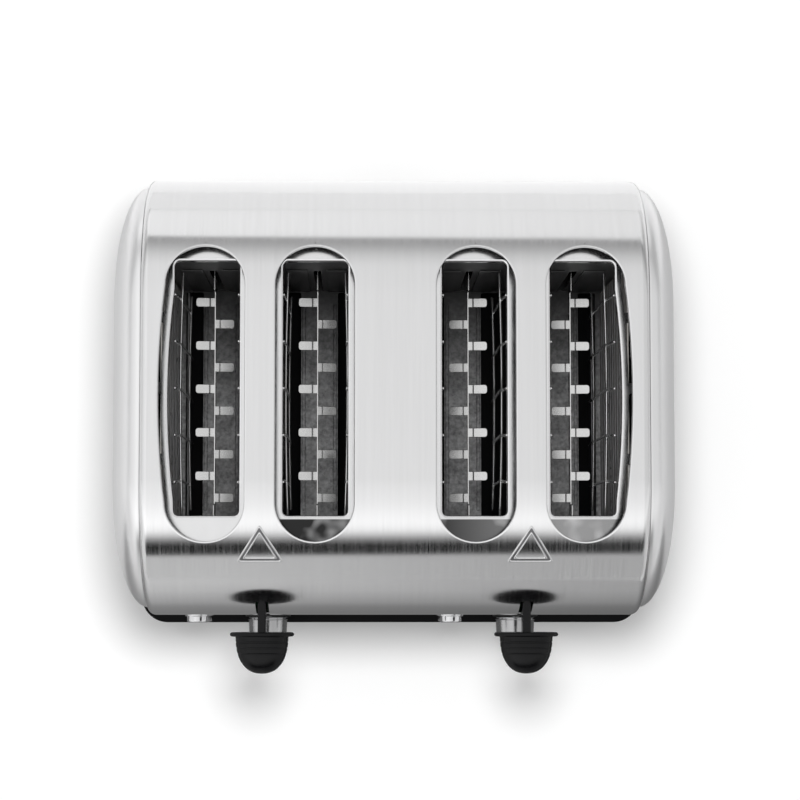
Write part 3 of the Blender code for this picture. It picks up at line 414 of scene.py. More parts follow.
def dress(node, shape, normals=None, sharp=35):
    """The finished piece that stands for a node, on its body and in its material."""
    body = frame["nodes"][node]["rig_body"]
    return add_piece(f"{node}_finished", shape, body, NODE_SLOTS[node], normals, sharp, (node,))


# Finishes
INSIDE_SHADE_SHARE = 0.08  # of a sheet's colour, left on its inside as painted shade
NOISE_SPAN = (0.3, 0.7)  # where most of a noise's values lie
EVEN = (1, 1, 1)
WHITE = (1, 1, 1, 1)
MIX_INPUTS = (0, 6, 7)  # of a node that mixes colours: the factor and the two colours
MIX_OUTPUT = 2
ROLLED_CLOUDS = (60.0, EVEN, 4.0, 0.6)  # noises are (scale, stretch, detail, roughness)
ROLLED_LINES = (1.0, (900, 60, 900))
ROLLED_RELIEF = (0.00001, 0.35)  # reliefs are (depth, strength)
# patches of the painted reflection on the chassis plates
REFLECTION_PATCH_CLOUDS = (55.0, EVEN, 2.0)
CHROME_WAVE = (70.0, EVEN, 1.0)
CHROME_SHADES = (0.97, 1.02)
CHROME_GRAIN = 300.0
CHROME_RELIEF = (0.00005, 0.2)


class Nodes:
    """A tree of shader nodes, made by short calls."""

    def __init__(self, owner):
        owner.use_nodes = True
        self.tree = owner.node_tree

    def feed(self, socket, value):
        """Joins an output to the socket, or sets the socket's value."""
        if isinstance(value, bpy.types.NodeSocket):
            self.tree.links.new(value, socket)
        else:
            socket.default_value = value

    def node(self, kind, **values):
        """A node: names with a capital are its inputs, the others its settings."""
        made = self.tree.nodes.new(f"ShaderNode{kind}")
        for name, value in values.items():
            if name[0].isupper():
                self.feed(made.inputs[name.replace("_", " ")], value)
            else:
                setattr(made, name, value)
        return made

    def along(self, axis, kind="Object"):
        """How far a point or a direction is along an axis."""
        place = self.node("TexCoord").outputs[kind]
        return self.node("SeparateXYZ", Vector=place).outputs[axis]

    def calculated(self, operation, *values):
        """A value worked out of one or two others."""
        made = self.node("Math", operation=operation)
        for socket, value in zip(made.inputs, values):
            self.feed(socket, value)
        return made.outputs["Value"]

    def ranged(self, value, start, end, low, high):
        """The value, from start to end, as a number from low to high."""
        made = self.node("MapRange", Value=value, From_Min=start, From_Max=end, To_Min=low, To_Max=high)
        return made.outputs["Result"]

    def mixed(self, factor, first, second):
        """The first colour where the factor is 0 and the second where it is 1."""
        made = self.node("Mix", data_type="RGBA")
        for i, value in zip(MIX_INPUTS, (factor, first, second)):
            self.feed(made.inputs[i], value)
        return made.outputs[MIX_OUTPUT]

    def ramp(self, value, colours):
        """The colour at a value from 0 to 1, out of (place, colour) pairs."""
        made = self.node("ValToRGB", Fac=value)
        elements = made.color_ramp.elements
        while len(elements) < len(colours):
            elements.new(0.5)
        for element, (place, colour) in zip(elements, colours):
            element.position = place
            element.color = (*colour, 1)
        return made.outputs["Color"]

    def brightness(self, value, table, start, end, peak=1):
        """The table's brightness at a value, as a share of the peak; the table runs from start to end."""
        share = self.ranged(value, start, end, 0, 1)
        return self.ramp(share, [((at - start) / (end - start), [b / peak] * 3) for at, b in table])

    def seen_directly(self, strength):
        """A strength for what the camera sees, also in gloss and through glass."""
        path = self.node("LightPath")
        camera, glossy, through = (
            path.outputs[f"Is {kind} Ray"] for kind in ("Camera", "Glossy", "Transmission")
        )
        seen = self.calculated("MAXIMUM", self.calculated("MAXIMUM", camera, glossy), through)
        return self.calculated("MULTIPLY", seen, strength)


class Finish(Nodes):
    """A material that is put together from a few procedural nodes."""

    def __init__(self, name, colour, rough, metallic=0.0, **constants):
        self.material = bpy.data.materials.new(name)
        super().__init__(self.material)
        self.inputs = self.tree.nodes["Principled BSDF"].inputs
        self.colour = colour
        self.inputs["Base Color"].default_value = (*colour, 1)
        self.inputs["Roughness"].default_value = sum(rough) / 2
        self.inputs["Metallic"].default_value = metallic
        for socket, value in constants.items():
            self.inputs[socket.replace("_", " ")].default_value = value
        self.rough_span = rough
        self.height = None

    def noise(self, scale, stretch=EVEN, detail=3.0, rough=0.5):
        """A noise value over the object's own coordinates, stretched along its axes."""
        place = self.node("TexCoord").outputs["Object"]
        mapping = self.node("Mapping", Vector=place, Scale=stretch).outputs["Vector"]
        made = self.node("TexNoise", Vector=mapping, Scale=scale, Detail=detail, Roughness=rough)
        return made.outputs["Fac"]

    def tint(self, value, shades, span=NOISE_SPAN):
        """The colour runs from dark to light times its own as the value runs over its span."""
        colours = [[min(c * shade, 1) for c in self.colour] for shade in shades]
        self.feed(self.inputs["Base Color"], self.ramp(value, list(zip(span, colours))))
        return self

    def rough(self, value):
        """The roughness runs over its span with the value."""
        self.feed(self.inputs["Roughness"], self.ranged(value, *NOISE_SPAN, *self.rough_span))
        return self

    def bump(self, value, distance, strength):
        """A relief of that depth, on top of the ones made before."""
        below = {"Normal": self.height} if self.height else {}
        made = self.node("Bump", Strength=strength, Distance=distance, Height=value, **below)
        self.height = made.outputs["Normal"]
        self.feed(self.inputs["Normal"], self.height)
        return self

    def painted_darkening(self, amount, share):
        """Painted darkening, used for painted shade and painted reflections: where the amount is 1, only that
        share of the colour is left.
        """
        base = self.inputs["Base Color"].links[0].from_socket
        dark = (*(c * share for c in self.colour), 1)
        self.feed(self.inputs["Base Color"], self.mixed(amount, base, dark))
        return self

    def painted_shade_inside(self):
        """Painted shade: the inside of a sheet is darkened, as it lies in the toaster's shadow."""
        inside = self.node("Attribute", attribute_name="inside")
        return self.painted_darkening(inside.outputs["Fac"], INSIDE_SHADE_SHARE)

    def brushed(self, axis):
        """The direction of the brushing, round an axis."""
        tangent = self.node("Tangent", direction_type="RADIAL", axis=axis)
        self.feed(self.inputs["Tangent"], tangent.outputs["Tangent"])
        return self


def brushed_steel(slot, colour, rough, fine, broad, shades, grain_relief, wave, wave_relief):
    """Stainless steel, brushed from front to back, very slightly wavy."""
    made = Finish(slot, colour, rough, 1.0, Anisotropic=0.95, Anisotropic_Rotation=0.25)
    grain = made.noise(1.0, fine, 2.0)
    # its inside is darkened with painted shade
    made.brushed("X").tint(made.noise(1.0, broad), shades).painted_shade_inside().rough(grain)
    return made.bump(grain, *grain_relief).bump(made.noise(wave, detail=1.0), *wave_relief)


def cap_silver(slot, colour, rough, metallic, clouds, shades, grain, relief):
    """Satin silver end caps."""
    made = Finish(slot, colour, rough, metallic)
    fine = made.noise(grain, detail=2.0)
    # its inside is darkened with painted shade
    return made.tint(made.noise(clouds), shades).painted_shade_inside().rough(fine).bump(fine, *relief)


def moulded(slot, colour, rough, clouds, shades, grain, relief, specular=0.5):
    """Moulded plastic or rubber with a fine grain."""
    made = Finish(slot, colour, rough, Specular_IOR_Level=specular)
    fine = made.noise(grain)
    return made.tint(made.noise(clouds), shades).rough(fine).bump(fine, *relief)


def rolled_steel(slot, colour, rough, shades=(0.85, 1.12), metallic=1.0):
    """Cold rolled sheet: faint rolling lines and a cloudy sheen."""
    made = Finish(slot, colour, rough, metallic)
    clouds = made.noise(*ROLLED_CLOUDS)
    lines = made.noise(*ROLLED_LINES)
    return made.tint(clouds, shades).rough(clouds).bump(lines, *ROLLED_RELIEF)


def chassis_steel(slot, colour, rough, shades, front, beside, fading, clouds, share):
    """Bright sheet with a painted reflection: dark cloudy patches before the front of all the slots but the
    first, standing in for dark things mirrored there.

    front is where they fade out, from the shell's middle. The other limits are (start, end, value at
    the start, value at the end).
    """
    made = rolled_steel(slot, colour, rough, shades)
    amount = made.ranged(made.along("Y"), *(MIDDLE_Y + y for y in front), 1, 0)
    for limits in (beside, fading):
        amount = made.calculated("MULTIPLY", amount, made.ranged(made.along("X"), *limits))
    # painted reflection: dark cloudy patches before the front of the slots
    reflection_patches = made.ranged(made.noise(*REFLECTION_PATCH_CLOUDS), *clouds)
    return made.painted_darkening(made.calculated("MULTIPLY", amount, reflection_patches), share)


def floor_steel(slot, colour, rough, metallic, spangle, shades, span, sheen, stain, share, relief):
    """Galvanised sheet with its mottled spangle, darker towards the back with painted shade."""
    made = Finish(slot, colour, rough, metallic)
    mottle = made.noise(*spangle)
    made.tint(mottle, shades, span).rough(made.noise(sheen))
    # painted shade, darker towards the back of the floor
    made.painted_darkening(made.ranged(made.along("Y"), MIDDLE_Y, MIDDLE_Y + stain, 0, 1), share)
    return made.bump(mottle, *relief)


def patterned(slot, colour, rough, noise, shades, relief, span=NOISE_SPAN, metallic=0.0):
    """A material whose colour, gloss and relief follow one pattern."""
    made = Finish(slot, colour, rough, metallic)
    value = made.noise(*noise)
    return made.tint(value, shades, span).rough(value).bump(value, *relief)


def chrome(slot, colour, rough):
    """Plated metal with the faintest waviness."""
    made = Finish(slot, colour, rough, 1.0)
    wave = made.noise(*CHROME_WAVE)
    return made.tint(wave, CHROME_SHADES).rough(made.noise(CHROME_GRAIN)).bump(wave, *CHROME_RELIEF)


FINISHES = {
    "brushed_steel": (brushed_steel, {
        "colour": (0.78, 0.78, 0.785), "rough": (0.15, 0.25),
        "fine": (2600, 45, 45), "broad": (420, 9, 9), "shades": (0.985, 1.01),
        "grain_relief": (0.000010, 0.4), "wave": 9.0, "wave_relief": (0.0008, 0.8),
    }),
    "cap_silver": (cap_silver, {
        "colour": (0.80, 0.80, 0.805), "rough": (0.28, 0.31), "metallic": 0.9,
        "clouds": 25.0, "shades": (0.985, 1.01), "grain": 2200.0, "relief": (0.000003, 0.3),
    }),
    "plinth_black": (moulded, {
        "colour": (0.0025, 0.0025, 0.0028), "rough": (0.36, 0.5), "specular": 0.08,
        "clouds": 40.0, "shades": (0.8, 1.3), "grain": 2200.0, "relief": (0.00003, 0.5),
    }),
    "foot_rubber": (moulded, {
        "colour": (0.025, 0.025, 0.025), "rough": (0.75, 0.95),
        "clouds": 90.0, "shades": (0.7, 1.4), "grain": 1500.0, "relief": (0.00005, 0.6),
    }),
    "lever_black": (moulded, {
        "colour": (0.0022, 0.0022, 0.0026), "rough": (0.16, 0.28), "specular": 0.2,
        "clouds": 120.0, "shades": (0.8, 1.3), "grain": 1600.0, "relief": (0.00002, 0.4),
    }),
    "bezel_black": (moulded, {
        "colour": (0.006, 0.006, 0.006), "rough": (0.25, 0.38), "specular": 0.3,
        "clouds": 200.0, "shades": (0.8, 1.3), "grain": 1800.0, "relief": (0.00002, 0.4),
    }),
    # the dark patches on the chassis plates are a painted reflection
    "chassis_steel": (chassis_steel, {
        "colour": (0.80, 0.80, 0.805), "rough": (0.12, 0.2), "shades": (0.96, 1.03),
        "front": (-0.0672, -0.0667), "beside": (-0.075, -0.065, 0, 1),
        "fading": (0.02, 0.09, 1, 0.6), "clouds": (0.42, 0.56, 0.55, 1.0), "share": 0.04,
    }),
    "floor_steel": (floor_steel, {
        "colour": (0.42, 0.42, 0.425), "rough": (0.42, 0.65), "metallic": 0.6,
        "spangle": (420.0, EVEN, 5.0, 0.7), "shades": (0.62, 1.35), "span": (0.35, 0.65), "sheen": 150.0,
        # the floor's painted shade towards the back
        "stain": 0.070, "share": 0.12, "relief": (0.00006, 0.6),
    }),
    "wall_steel": (rolled_steel, {
        "colour": (0.20, 0.20, 0.205), "rough": (0.38, 0.52), "shades": (0.8, 1.2), "metallic": 0.8,
    }),
    "carriage_steel": (rolled_steel, {"colour": (0.76, 0.76, 0.755), "rough": (0.18, 0.3)}),
    "guard_wire": (rolled_steel, {
        "colour": (0.84, 0.84, 0.84), "rough": (0.14, 0.22), "shades": (0.94, 1.04),
    }),
    "spring_steel": (rolled_steel, {"colour": (0.55, 0.55, 0.56), "rough": (0.25, 0.4)}),
    "tray_steel": (rolled_steel, {
        "colour": (0.50, 0.50, 0.51), "rough": (0.34, 0.48), "shades": (0.85, 1.15), "metallic": 0.9,
    }),
    "mica_board": (patterned, {
        "colour": (0.33, 0.32, 0.305), "rough": (0.35, 0.65), "noise": (260.0, EVEN, 6.0, 0.7),
        "shades": (0.65, 1.25), "relief": (0.00004, 0.5),
    }),
    "magnet_coil": (patterned, {
        "colour": (0.52, 0.20, 0.07), "rough": (0.25, 0.42), "noise": (1.0, (40, 40, 3200), 1.0),
        "shades": (0.6, 1.2), "relief": (0.0001, 0.8), "metallic": 0.8,
    }),
    "circuit_board": (patterned, {
        "colour": (0.03, 0.16, 0.06), "rough": (0.28, 0.42), "noise": (1.0, (500, 500, 90), 0.0),
        "shades": (0.7, 1.5), "relief": (0.00005, 0.7), "span": (0.45, 0.55),
    }),
    "knob_chrome": (chrome, {"colour": (0.42, 0.42, 0.425), "rough": (0.12, 0.2)}),
    "button_chrome": (chrome, {"colour": (0.68, 0.68, 0.69), "rough": (0.08, 0.15)}),
}
made_finishes = {}


def finish_of(slot):
    """The material of a slot, made the first time that it is asked for."""
    if slot not in made_finishes:
        make, values = FINISHES[slot]
        made_finishes[slot] = make(slot, **values).material
    return made_finishes[slot]


# Shell


def station(s):
    """(y, z, normal y, normal z) at a length s along the arch from the foot of the front."""
    mirrored = s > TOTAL_ARCH / 2
    s = min(s, TOTAL_ARCH - s)
    side = 1 if mirrored else -1
    if s <= FRONT_RISE:
        y, z, out, up = HALF_DEPTH, SHELL_BOTTOM + s, 1, 0
    elif s <= FRONT_RISE + ARC_LENGTH:
        angle = (s - FRONT_RISE) / CORNER_RADIUS
        out, up = math.cos(angle), math.sin(angle)
        y = FLAT_HALF + CORNER_RADIUS * out
        z = SHELL_TOP - CORNER_RADIUS + CORNER_RADIUS * up
    else:
        y, z, out, up = FLAT_HALF - (s - FRONT_RISE - ARC_LENGTH), SHELL_TOP, 0, 1
    return side * y, z, side * out, up


def length_to_y(y):
    """The length along the arch to a place on the top or its two bends."""
    half = TOTAL_ARCH / 2
    if abs(y) <= FLAT_HALF:
        return half + y
    angle = math.asin(min((abs(y) - FLAT_HALF) / CORNER_RADIUS, 1))
    return half + math.copysign(FLAT_HALF + CORNER_RADIUS * angle, y)


def length_to_z(z):
    """The length along the arch to a height on the front."""
    if z <= SHELL_TOP - CORNER_RADIUS:
        return z - SHELL_BOTTOM
    angle = math.asin((z - SHELL_TOP + CORNER_RADIUS) / CORNER_RADIUS)
    return FRONT_RISE + CORNER_RADIUS * angle


def top_z(y):
    """Height of the shell's outside over a place on the top or its bends."""
    beyond = max(abs(y) - FLAT_HALF, 0)
    return SHELL_TOP - CORNER_RADIUS + math.sqrt(CORNER_RADIUS**2 - beyond**2)


class SlotHole:
    """A toast slot, grown by the rim."""

    def __init__(self, x, bow):
        self.x, self.bow = x, bow
        self.radius = SLOT_WIDTH / 2 + RIM
        reach = SLOT_STRAIGHT + self.radius
        rows = [
            side * (SLOT_STRAIGHT + self.radius * sin) for side in (-1, 1) for sin, cos in arc(SLOT_END_STEPS)
        ]
        rows += [SLOT_STRAIGHT * (2 * i / SLOT_SIDE_STEPS - 1) for i in range(SLOT_SIDE_STEPS + 1)]
        self.low, self.high = (length_to_y(SLOT_SHIFT + side * reach) for side in (-1, 1))
        self.rows = [length_to_y(SLOT_SHIFT + y) for y in rows]

    def span(self, y, z):
        """(left, right) of the hole at that place along the arch."""
        y = abs(y - SLOT_SHIFT)
        if y > SLOT_STRAIGHT:
            half = math.sqrt(max(self.radius**2 - (y - SLOT_STRAIGHT) ** 2, 0))
            return self.x - half, self.x + half
        bow = SLOT_BOW * (1 - (y / SLOT_STRAIGHT) ** 2)
        left = self.x - self.radius - (bow if self.bow < 0 else 0)
        return left, self.x + self.radius + (bow if self.bow > 0 else 0)


class FrontHole:
    """A round or long hole in the front."""

    def __init__(self, x, bottom, top, radius):
        self.x, self.bottom, self.top, self.radius = x, bottom, top, radius
        heights = [z for sin, cos in arc(HOLE_STEPS) for z in (bottom - radius * sin, top + radius * sin)]
        self.rows = [length_to_z(z) for z in heights]
        self.low, self.high = min(self.rows), max(self.rows)

    def span(self, y, z):
        """(left, right) of the hole at that height."""
        beyond = max(self.bottom - z, z - self.top, 0)
        half = math.sqrt(max(self.radius**2 - beyond**2, 0))
        return self.x - half, self.x + half


def shell_lines():
    """The holes of the shell, as the column pairs that open round them, from left to right."""
    lines = []
    for pair, side in enumerate(("left", "right")):
        lever = middle(f"lever_handle_{side}")
        knob = middle(f"browning_knob_{side}")
        inset = LEVER_SLOT_MARGIN - LEVER_SLOT_RADIUS
        bottom = lever.z - STEM_HEIGHT / 2 - joint_range(f"lever_{side}_slide") - inset
        long_hole = FrontHole(lever.x, bottom, lever.z + STEM_HEIGHT / 2 + inset, LEVER_SLOT_RADIUS)
        shaft_hole = FrontHole(knob.x, knob.z, knob.z, SHAFT_RADIUS + CONTROL_GAP)
        places = [middle(f"{name}_button_{side}") for name in BUTTONS]
        buttons = [FrontHole(place.x, place.z, place.z, BUTTON_RADIUS + CONTROL_GAP) for place in places]
        slots = [SlotHole(SLOT_XS[i], SLOT_BOWS[i]) for i in (2 * pair, 2 * pair + 1)]
        lines += [[slots[0], *buttons], [shaft_hole, long_hole], [slots[1]]]
    return lines


def joint_range(name):
    """How far a sliding joint goes."""
    joint = next(joint for joint in frame["joints"] if joint["name"] == name)
    return max(abs(value) for value in joint["range_m"])


def spaced(required, low, high, spacing):
    """Places between low and high no further apart than the spacing, apart from the required ones."""
    count = max(int(math.ceil((high - low) / spacing)), 1)
    places = [low + (high - low) * i / count for i in range(count + 1)]
    return [p for p in places if all(abs(p - r) > spacing * CLEAR_SHARE for r in required)]


def shell_rows(lines):
    """Lengths along the arch of every row of points."""
    required = {round(s, 6) for line in lines for hole in line for s in hole.rows}
    required |= {0, round(TOTAL_ARCH, 6)}
    bend = FRONT_RISE + ARC_LENGTH
    limits = (0, FRONT_RISE, bend, TOTAL_ARCH - bend, TOTAL_ARCH - FRONT_RISE, TOTAL_ARCH)
    spacings = (FLAT_SPACING, ARC_SPACING, FLAT_SPACING, ARC_SPACING, FLAT_SPACING)
    for low, high, spacing in zip(limits, limits[1:], spacings):
        required |= {round(s, 6) for s in spaced(sorted(required), low, high, spacing)}
    rows = []
    for s in sorted(required):
        if not rows or s - rows[-1] > 2 * ROW_TOLERANCE:
            rows.append(s)
    return rows


def line_span(line, s, y, z):
    """((left, right), hole) of a line of holes at a row; left equals right between the holes."""
    for hole in line:
        if hole.low - ROW_TOLERANCE <= s <= hole.high + ROW_TOLERANCE:
            left, right = hole.span(y, z)
            return ((left, right) if right - left > 2 * ROW_TOLERANCE else (hole.x, hole.x)), hole
    ordered = sorted(line, key=lambda hole: hole.low)
    before = [hole for hole in ordered if hole.high < s]
    after = [hole for hole in ordered if hole.low > s]
    if before and after:
        start, end = before[-1], after[0]
        share = (s - start.high) / (end.low - start.high)
        x = start.x + (end.x - start.x) * share
    else:
        x = (before or after[:1])[-1].x
    return (x, x), None


def shell_grid():
    """Points, normals, faces of the shell's outside, and the edges of its slots as point loops."""
    lines = shell_lines()
    points, normals, rows, spans = [], [], [], []
    flat_edge = HALF_WIDTH - EDGE_ROLL
    bends = arc(ROLL_STEPS)[1:]

    def add(x, y, z, normal):
        points.append((x, y + MIDDLE_Y, z))
        normals.append(normal)
        return len(points) - 1

    def rolled(side, sin, cos, y, z, out, up):
        drop = EDGE_ROLL * (1 - cos)
        x = side * (flat_edge + EDGE_ROLL * sin)
        return add(x, y - out * drop, max(z - up * drop, SHELL_BOTTOM), (side * sin, out * cos, up * cos))

    for s in shell_rows(lines):
        place = y, z, out, up = station(s)
        normal = (0, out, up)
        row = [rolled(-1, *bend, *place) for bend in reversed(bends)]
        row.append(add(-flat_edge, y, z, normal))
        start, holes = -flat_edge, []
        for line in lines:
            (left, right), hole = line_span(line, s, y, z)
            for i in range(1, SEGMENT_COLUMNS):
                row.append(add(start + (left - start) * i / SEGMENT_COLUMNS, y, z, normal))
            row.append(add(left, y, z, normal))
            row.append(row[-1] if left == right else add(right, y, z, normal))
            holes.append((len(row) - 2, hole))
            start = right
        for i in range(1, SEGMENT_COLUMNS + 1):
            row.append(add(start + (flat_edge - start) * i / SEGMENT_COLUMNS, y, z, normal))
        row += [rolled(1, *bend, *place) for bend in bends]
        rows.append(row)
        spans.append(holes)

    hole_columns = {column for column, hole in spans[0]}
    faces = [
        tuple(dict.fromkeys((low[k], low[k + 1], high[k + 1], high[k])))
        for low, high in zip(rows, rows[1:])
        for k in range(len(low) - 1)
        if k not in hole_columns
    ]
    loops = []
    for number, line in enumerate(lines):
        for hole in line:
            if not isinstance(hole, SlotHole):
                continue
            held = [(row, at[number][0]) for row, at in zip(rows, spans) if at[number][1] is hole]
            left = [row[column] for row, column in held]
            right = [row[column + 1] for row, column in held if row[column + 1] != row[column]]
            loops.append((left + right[::-1], hole))
    return points, normals, faces, loops


def add_rims(points, normals, faces, loops):
    """Turns the shell down round each slot, in a small bend and then a collar."""
    for loop, hole in loops:
        count = len(loop)
        rings = [list(loop)]
        places = []
        for i, index in enumerate(loop):
            before, after = (Vector(points[loop[(i + k) % count]]) for k in (-1, 1))
            along = (after - before).to_2d().normalized()
            inward = Vector((along.y, -along.x))
            start = Vector(points[index])
            towards = Vector((hole.x, MIDDLE_Y + SLOT_SHIFT))
            towards.y += max(min(start.y - towards.y, SLOT_STRAIGHT), -SLOT_STRAIGHT)
            if inward.dot(towards - start.to_2d()) < 0:
                inward = -inward
            surface = Vector(normals[index])
            slope = -surface.y * inward.y / surface.z
            end = start.to_2d() + inward * RIM
            end = Vector((end.x, end.y, top_z(end.y - MIDDLE_Y) - RIM))
            flat_in = Vector((inward.x, inward.y, 0))
            pull = RIM_PULL_SHARE * RIM
            first = start + (flat_in + Vector((0, 0, slope))) * pull
            places.append(((start, first, end + Vector((0, 0, pull)), end), flat_in, surface))
        for step in range(1, RIM_STEPS + 2):
            t = step / RIM_STEPS
            rings.append(list(range(len(points), len(points) + count)))
            for (a, b, c, d), flat_in, surface in places:
                if step > RIM_STEPS:
                    points.append(tuple(d - Vector((0, 0, COLLAR_DEPTH)) + flat_in * COLLAR_TAPER))
                    normals.append(tuple(flat_in))
                    continue
                place = a * (1 - t) ** 3 + b * 3 * t * (1 - t) ** 2 + c * 3 * t**2 * (1 - t) + d * t**3
                rate = (b - a) * (1 - t) ** 2 + (c - b) * 2 * t * (1 - t) + (d - c) * t**2
                turn = Vector((-rate.z * flat_in.x, -rate.z * flat_in.y, rate.dot(flat_in))).normalized()
                points.append(tuple(place))
                normals.append(tuple((surface * (1 - t) + turn * t).normalized()))
        for upper, lower in zip(rings, rings[1:]):
            for i in range(count):
                j = (i + 1) % count
                faces.append((upper[i], upper[j], lower[j], lower[i]))


def facing(face, points, normals):
    """The face, turned so that it looks the way its points' normals do."""
    a, b, c = (Vector(points[i]) for i in (face[0], face[1], face[-1]))
    looks = (b - a).cross(c - a)
    wanted = sum((Vector(normals[i]) for i in face), Vector())
    return face if looks.dot(wanted) >= 0 else face[::-1]


def thickened(points, normals, faces, thickness):
    """A closed sheet behind the skin, and its points' normals."""
    faces = [facing(face, points, normals) for face in faces]
    size = len(points)
    inner = [
        tuple(c - thickness * n for c, n in zip(point, normal)) for point, normal in zip(points, normals)
    ]
    edges = {}
    for face in faces:
        for a, b in zip(face, face[1:] + face[:1]):
            edges[(a, b)] = True
    made = list(faces) + [tuple(size + i for i in reversed(face)) for face in faces]
    for a, b in edges:
        if (b, a) not in edges:
            made.append((b, a, size + a, size + b))
    backs = [tuple(-c for c in normal) for normal in normals]
    return (points + inner, made), normals + backs


def dress_shell():
    """The brushed shell with its rolled edges, its slots and its openings for the controls."""
    points, normals, faces, loops = shell_grid()
    add_rims(points, normals, faces, loops)
    shape, normals = thickened(points, normals, faces, SHEET)
    dress("top_shell", shape, normals)


# End caps
CAP_SHOULDER = 0.056
CAP_WALL = 0.002
CAP_STEPS = 22
CAP_FRONT_ROWS = 3
CAP_BEND_ROWS = 40
CAP_TOP_ROWS = 8


def dress_end_cap(name, side):
    """A bulging end cap with a flat side."""
    low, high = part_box(name)
    seam = low.x if side > 0 else high.x
    bulge = high.x - low.x
    bend = FRONT_RISE + ARC_LENGTH
    front = [FRONT_RISE * i / CAP_FRONT_ROWS for i in range(CAP_FRONT_ROWS)]
    front += [FRONT_RISE + ARC_LENGTH * i / CAP_BEND_ROWS for i in range(CAP_BEND_ROWS + 1)]
    top = [bend + (TOTAL_ARCH - 2 * bend) * i / CAP_TOP_ROWS for i in range(1, CAP_TOP_ROWS)]
    rows = front + top + [TOTAL_ARCH - s for s in reversed(front)]
    points, normals = [], []
    for s in rows:
        y, z, out, up = station(s)
        for sin, cos in arc(CAP_STEPS):
            inset = EDGE_ROLL + CAP_SHOULDER * (1 - cos)
            x = seam + side * bulge * sin
            points.append((x, MIDDLE_Y + y - out * inset, max(z - up * inset, SHELL_BOTTOM)))
            across, level = CAP_SHOULDER * sin, bulge * cos
            normals.append(tuple(Vector((side * across, out * level, up * level)).normalized()))
    size = CAP_STEPS + 1
    faces = ring_bands(0, size, len(rows), closed=False)
    faces.append(tuple(i * size + CAP_STEPS for i in range(len(rows))))
    shape, normals = thickened(points, normals, faces, CAP_WALL)
    dress(name, shape, normals)


# Plinth, gland and feet
PLINTH_LOW, PLINTH_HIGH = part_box("base_plinth")
PLINTH_RADIUS = 0.015
PLINTH_TAPER = 0.002
PLINTH_TAPER_HEIGHT = 0.006
PLINTH_TAPER_SHARE = 0.75  # of the taper, just above the lower edge
PLINTH_EDGE = 0.0012
PLINTH_EDGE_STEPS = 4
PLINTH_WALL = 0.0025
PLINTH_LEDGE_WIDTH = 0.0085
PLINTH_LEDGE = 0.003
PLINTH_RIB = 0.002
RIB_SINK = 0.001  # into the plinth's floor
OVERRUN = 0.002
GLAND_HOLE_RADIUS = 0.0055
GLAND_HOLE = (-0.016, 0.008)  # from the plinth's back, inwards
GLAND_BORE = 0.0036
GLAND_BODY = 0.0052
GLAND_FLANGE = 0.0018
GLAND_EASE = 0.0005
FOOT_EASE = 0.0010
FOOT_RECESS = 0.0006
FOOT_RECESS_SHARES = (0.45, 0.55)  # of the foot's radius
FOOT_TOP_SHARE = 0.985


def plinth_ring(margin, z):
    """The plinth's outline, drawn in by a margin, at a height."""
    half_y = (PLINTH_HIGH.y - PLINTH_LOW.y) / 2
    corner = PLINTH_RADIUS - margin
    outline = rounded_rectangle(PLINTH_HIGH.x - margin, half_y - margin, corner, PLINTH_CORNER_STEPS)
    return ring_at(outline, (0, MIDDLE_Y), z)


def dress_plinth():
    """The black base with its ledge, ribs and the bays for the crumb trays."""
    bottom, top, back = PLINTH_LOW.z, PLINTH_HIGH.z, PLINTH_HIGH.y
    levels = [(PLINTH_TAPER + PLINTH_EDGE * a, bottom + PLINTH_EDGE * b) for a, b in EASE_STEPS[:0:-1]]
    levels.append((PLINTH_TAPER * PLINTH_TAPER_SHARE, bottom + PLINTH_EDGE))
    levels.append((0, bottom + PLINTH_TAPER_HEIGHT))
    levels += [(-margin, z) for margin, z in rounded_edge(0, top, PLINTH_EDGE, PLINTH_EDGE_STEPS)]
    inside = bottom + PLINTH_WALL
    hollow = [(PLINTH_WALL, inside), (PLINTH_WALL, top - PLINTH_LEDGE)]
    mouth = [(PLINTH_LEDGE_WIDTH, inside + OVERRUN), (PLINTH_LEDGE_WIDTH, top + OVERRUN)]
    shape, *cuts = (loft([plinth_ring(*level) for level in part]) for part in (levels, hollow, mouth))
    for cut in cuts:
        shape = combined(shape, cut, "DIFFERENCE")
    ribs, holes = [], []
    for side in ("left", "right"):
        low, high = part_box(f"crumb_tray_{side}")
        left, right = low.x - CONTROL_GAP, high.x + CONTROL_GAP
        rib_y = (low.y, back - PLINTH_WALL / 2)
        rib_z = (inside - RIB_SINK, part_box(f"chassis_floor_{side}")[0].z - CONTROL_GAP)
        ribs += [plain_block((x, x + PLINTH_RIB), rib_y, rib_z) for x in (left - PLINTH_RIB, right)]
        bay_y = (back - PLINTH_WALL - OVERRUN / 2, back + OVERRUN)
        holes.append(plain_block((left, right), bay_y, (inside + CONTROL_GAP, high.z + CONTROL_GAP)))
    gland = middle("cord_gland")
    hole = [(GLAND_HOLE_RADIUS, depth) for depth in GLAND_HOLE]
    holes.append(loft(turned(hole, (gland.x, back, gland.z), "front", SMALL_ROUND)))
    shape = combined(combined(shape, joined(ribs), "UNION"), joined(holes), "DIFFERENCE")
    dress("base_plinth", shape, sharp=30)


def dress_gland():
    """The bush that the cord leaves through."""
    low, high, centre = measured("cord_gland")
    reach = high.y - low.y
    profile = [(GLAND_BORE, reach), (GLAND_BODY - GLAND_EASE, reach), (GLAND_BODY, reach - GLAND_EASE)]
    profile += [(GLAND_BODY, GLAND_FLANGE), ((high.x - low.x) / 2, GLAND_FLANGE)]
    profile += eased((high.x - low.x) / 2, 0, GLAND_EASE)
    profile += [(GLAND_BORE + GLAND_EASE, 0), (GLAND_BORE, GLAND_EASE)]
    dress("cord_gland", ring_loft(turned(profile, (centre.x, high.y, centre.z), "front", MEDIUM_ROUND)))


